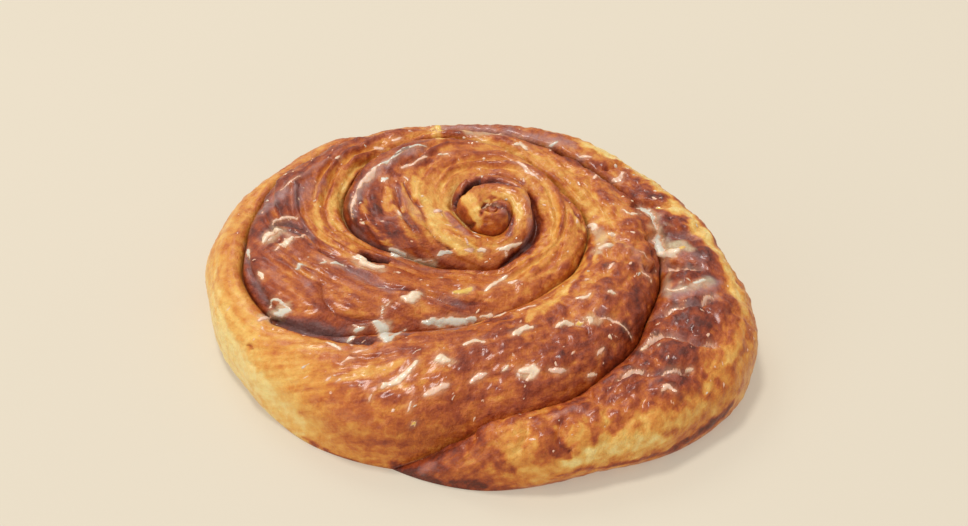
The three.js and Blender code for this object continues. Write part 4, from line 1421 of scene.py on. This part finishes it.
def glaze_material():
    nodes = Nodes("glaze")
    cloudy = nodes.noise(900, detail=3, roughness=0.55)
    tinted = nodes.vary(nodes.attribute("kind"), cloudy, 0.25)
    cover = nodes.ramp(nodes.attribute("cover"), [(0.0, (0, 0, 0, 1)), (0.65, (1, 1, 1, 1))])
    color = nodes.mix(cover, THIN_GLAZE_COLOR, nodes.ramp(tinted, GLAZE_COLORS))
    nodes.link(color, nodes.shader.inputs["Base Color"])
    rough = nodes.math("MULTIPLY_ADD", cloudy, 0.3, 0.16)
    nodes.link(rough, nodes.shader.inputs["Roughness"])
    nodes.settle(Coat_Weight=0.4, Coat_Roughness=0.1)
    nodes.settle(Subsurface_Weight=0.3, Subsurface_Radius=(0.0012, 0.0008, 0.0005))
    uneven = nodes.noise(1800, detail=2, roughness=0.5)
    nodes.link(nodes.bump(uneven, strength=0.2, distance=0.0002), nodes.shader.inputs["Normal"])
    return nodes.material


def floor_material():
    nodes = Nodes("floor")
    tone = nodes.noise(9, detail=2, roughness=0.5)
    plain = srgb(*(FLOOR_SHARE * np.array(FLOOR_COLOR)))
    lighter = tuple(min(1, channel * LIGHTER_PATCHES) for channel in plain)
    color = nodes.ramp(tone, [(0.3, plain), (0.7, lighter)])
    nodes.link(color, nodes.shader.inputs["Base Color"])
    nodes.link(color, nodes.shader.inputs["Emission Color"])
    nodes.settle(Emission_Strength=FLOOR_GLOW, Roughness=0.9, Specular_IOR_Level=0.1)
    return nodes.material


# ---- Floor and light ----
FLOOR_REACH = 6
WORLD_COLOR = (1, 0.99, 0.97, 1)
WORLD_STRENGTH = 0.52
SUN = {"energy": 1.36, "angle": math.radians(12), "color": (1, 0.985, 0.96)}
PANEL = {"energy": 1.0, "size": 0.3}
FILL = {"energy": 1.05, "size": 0.5}


def add_floor():
    reach = FLOOR_REACH
    mesh = bpy.data.meshes.new("floor")
    corners = [(-reach, -reach, 0), (reach, -reach, 0), (reach, reach, 0), (-reach, reach, 0)]
    mesh.from_pydata(corners, [], [(0, 1, 2, 3)])
    floor = bpy.data.objects.new("floor", mesh)
    floor.data.materials.append(floor_material())
    bpy.context.scene.collection.objects.link(floor)


def add_light(name, kind, settings, place, target):
    """A light that shines from a place towards a target."""
    data = bpy.data.lights.new(name, kind)
    for key, value in settings.items():
        setattr(data, key, value)
    light = bpy.data.objects.new(name, data)
    light.location = place
    light.rotation_euler = (Vector(target) - Vector(place)).to_track_quat("-Z", "Y").to_euler()
    bpy.context.scene.collection.objects.link(light)


def add_lights():
    scene = bpy.context.scene
    scene.view_settings.view_transform = "Standard"
    world = bpy.data.worlds.new("studio")
    scene.world = world
    world.use_nodes = True
    background = world.node_tree.nodes["Background"]
    background.inputs["Color"].default_value = WORLD_COLOR
    background.inputs["Strength"].default_value = WORLD_STRENGTH
    add_light("key", "SUN", SUN, (-0.17, 0.15, 1.0), (0, 0, 0))
    add_light("panel", "AREA", PANEL, (-0.25, 0.5, 0.6), (0, 0, 0.01))
    add_light("fill", "AREA", FILL, (-0.5, -0.5, 0.22), (0, 0, 0.01))


def dress(piece, material, replaces=None):
    piece.data.materials.append(material)
    if replaces:
        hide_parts(replaces)
    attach(piece, "root")


def limit_to_box(piece, low, high):
    """Keeps every point inside the solid's box."""
    vertices = piece.data.vertices
    places = np.zeros(len(vertices) * 3)
    vertices.foreach_get("co", places)
    places = np.clip(places.reshape(-1, 3), low, high)
    vertices.foreach_set("co", places.ravel())
    piece.data.update()


def main():
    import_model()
    low, high = (np.array(corner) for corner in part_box("roll"))
    crust = Crust()
    view = PhotoView(crust.middle)
    finish_crust(crust, view)
    roll = crust_piece(crust, view.shift)
    glaze = glaze_piece(crust, view, view.shift)
    for piece in (roll, glaze):
        limit_to_box(piece, low, high)
    dress(roll, crust_material(), "roll")
    dress(glaze, glaze_material())
    view.add_camera()
    add_floor()
    add_lights()


main()
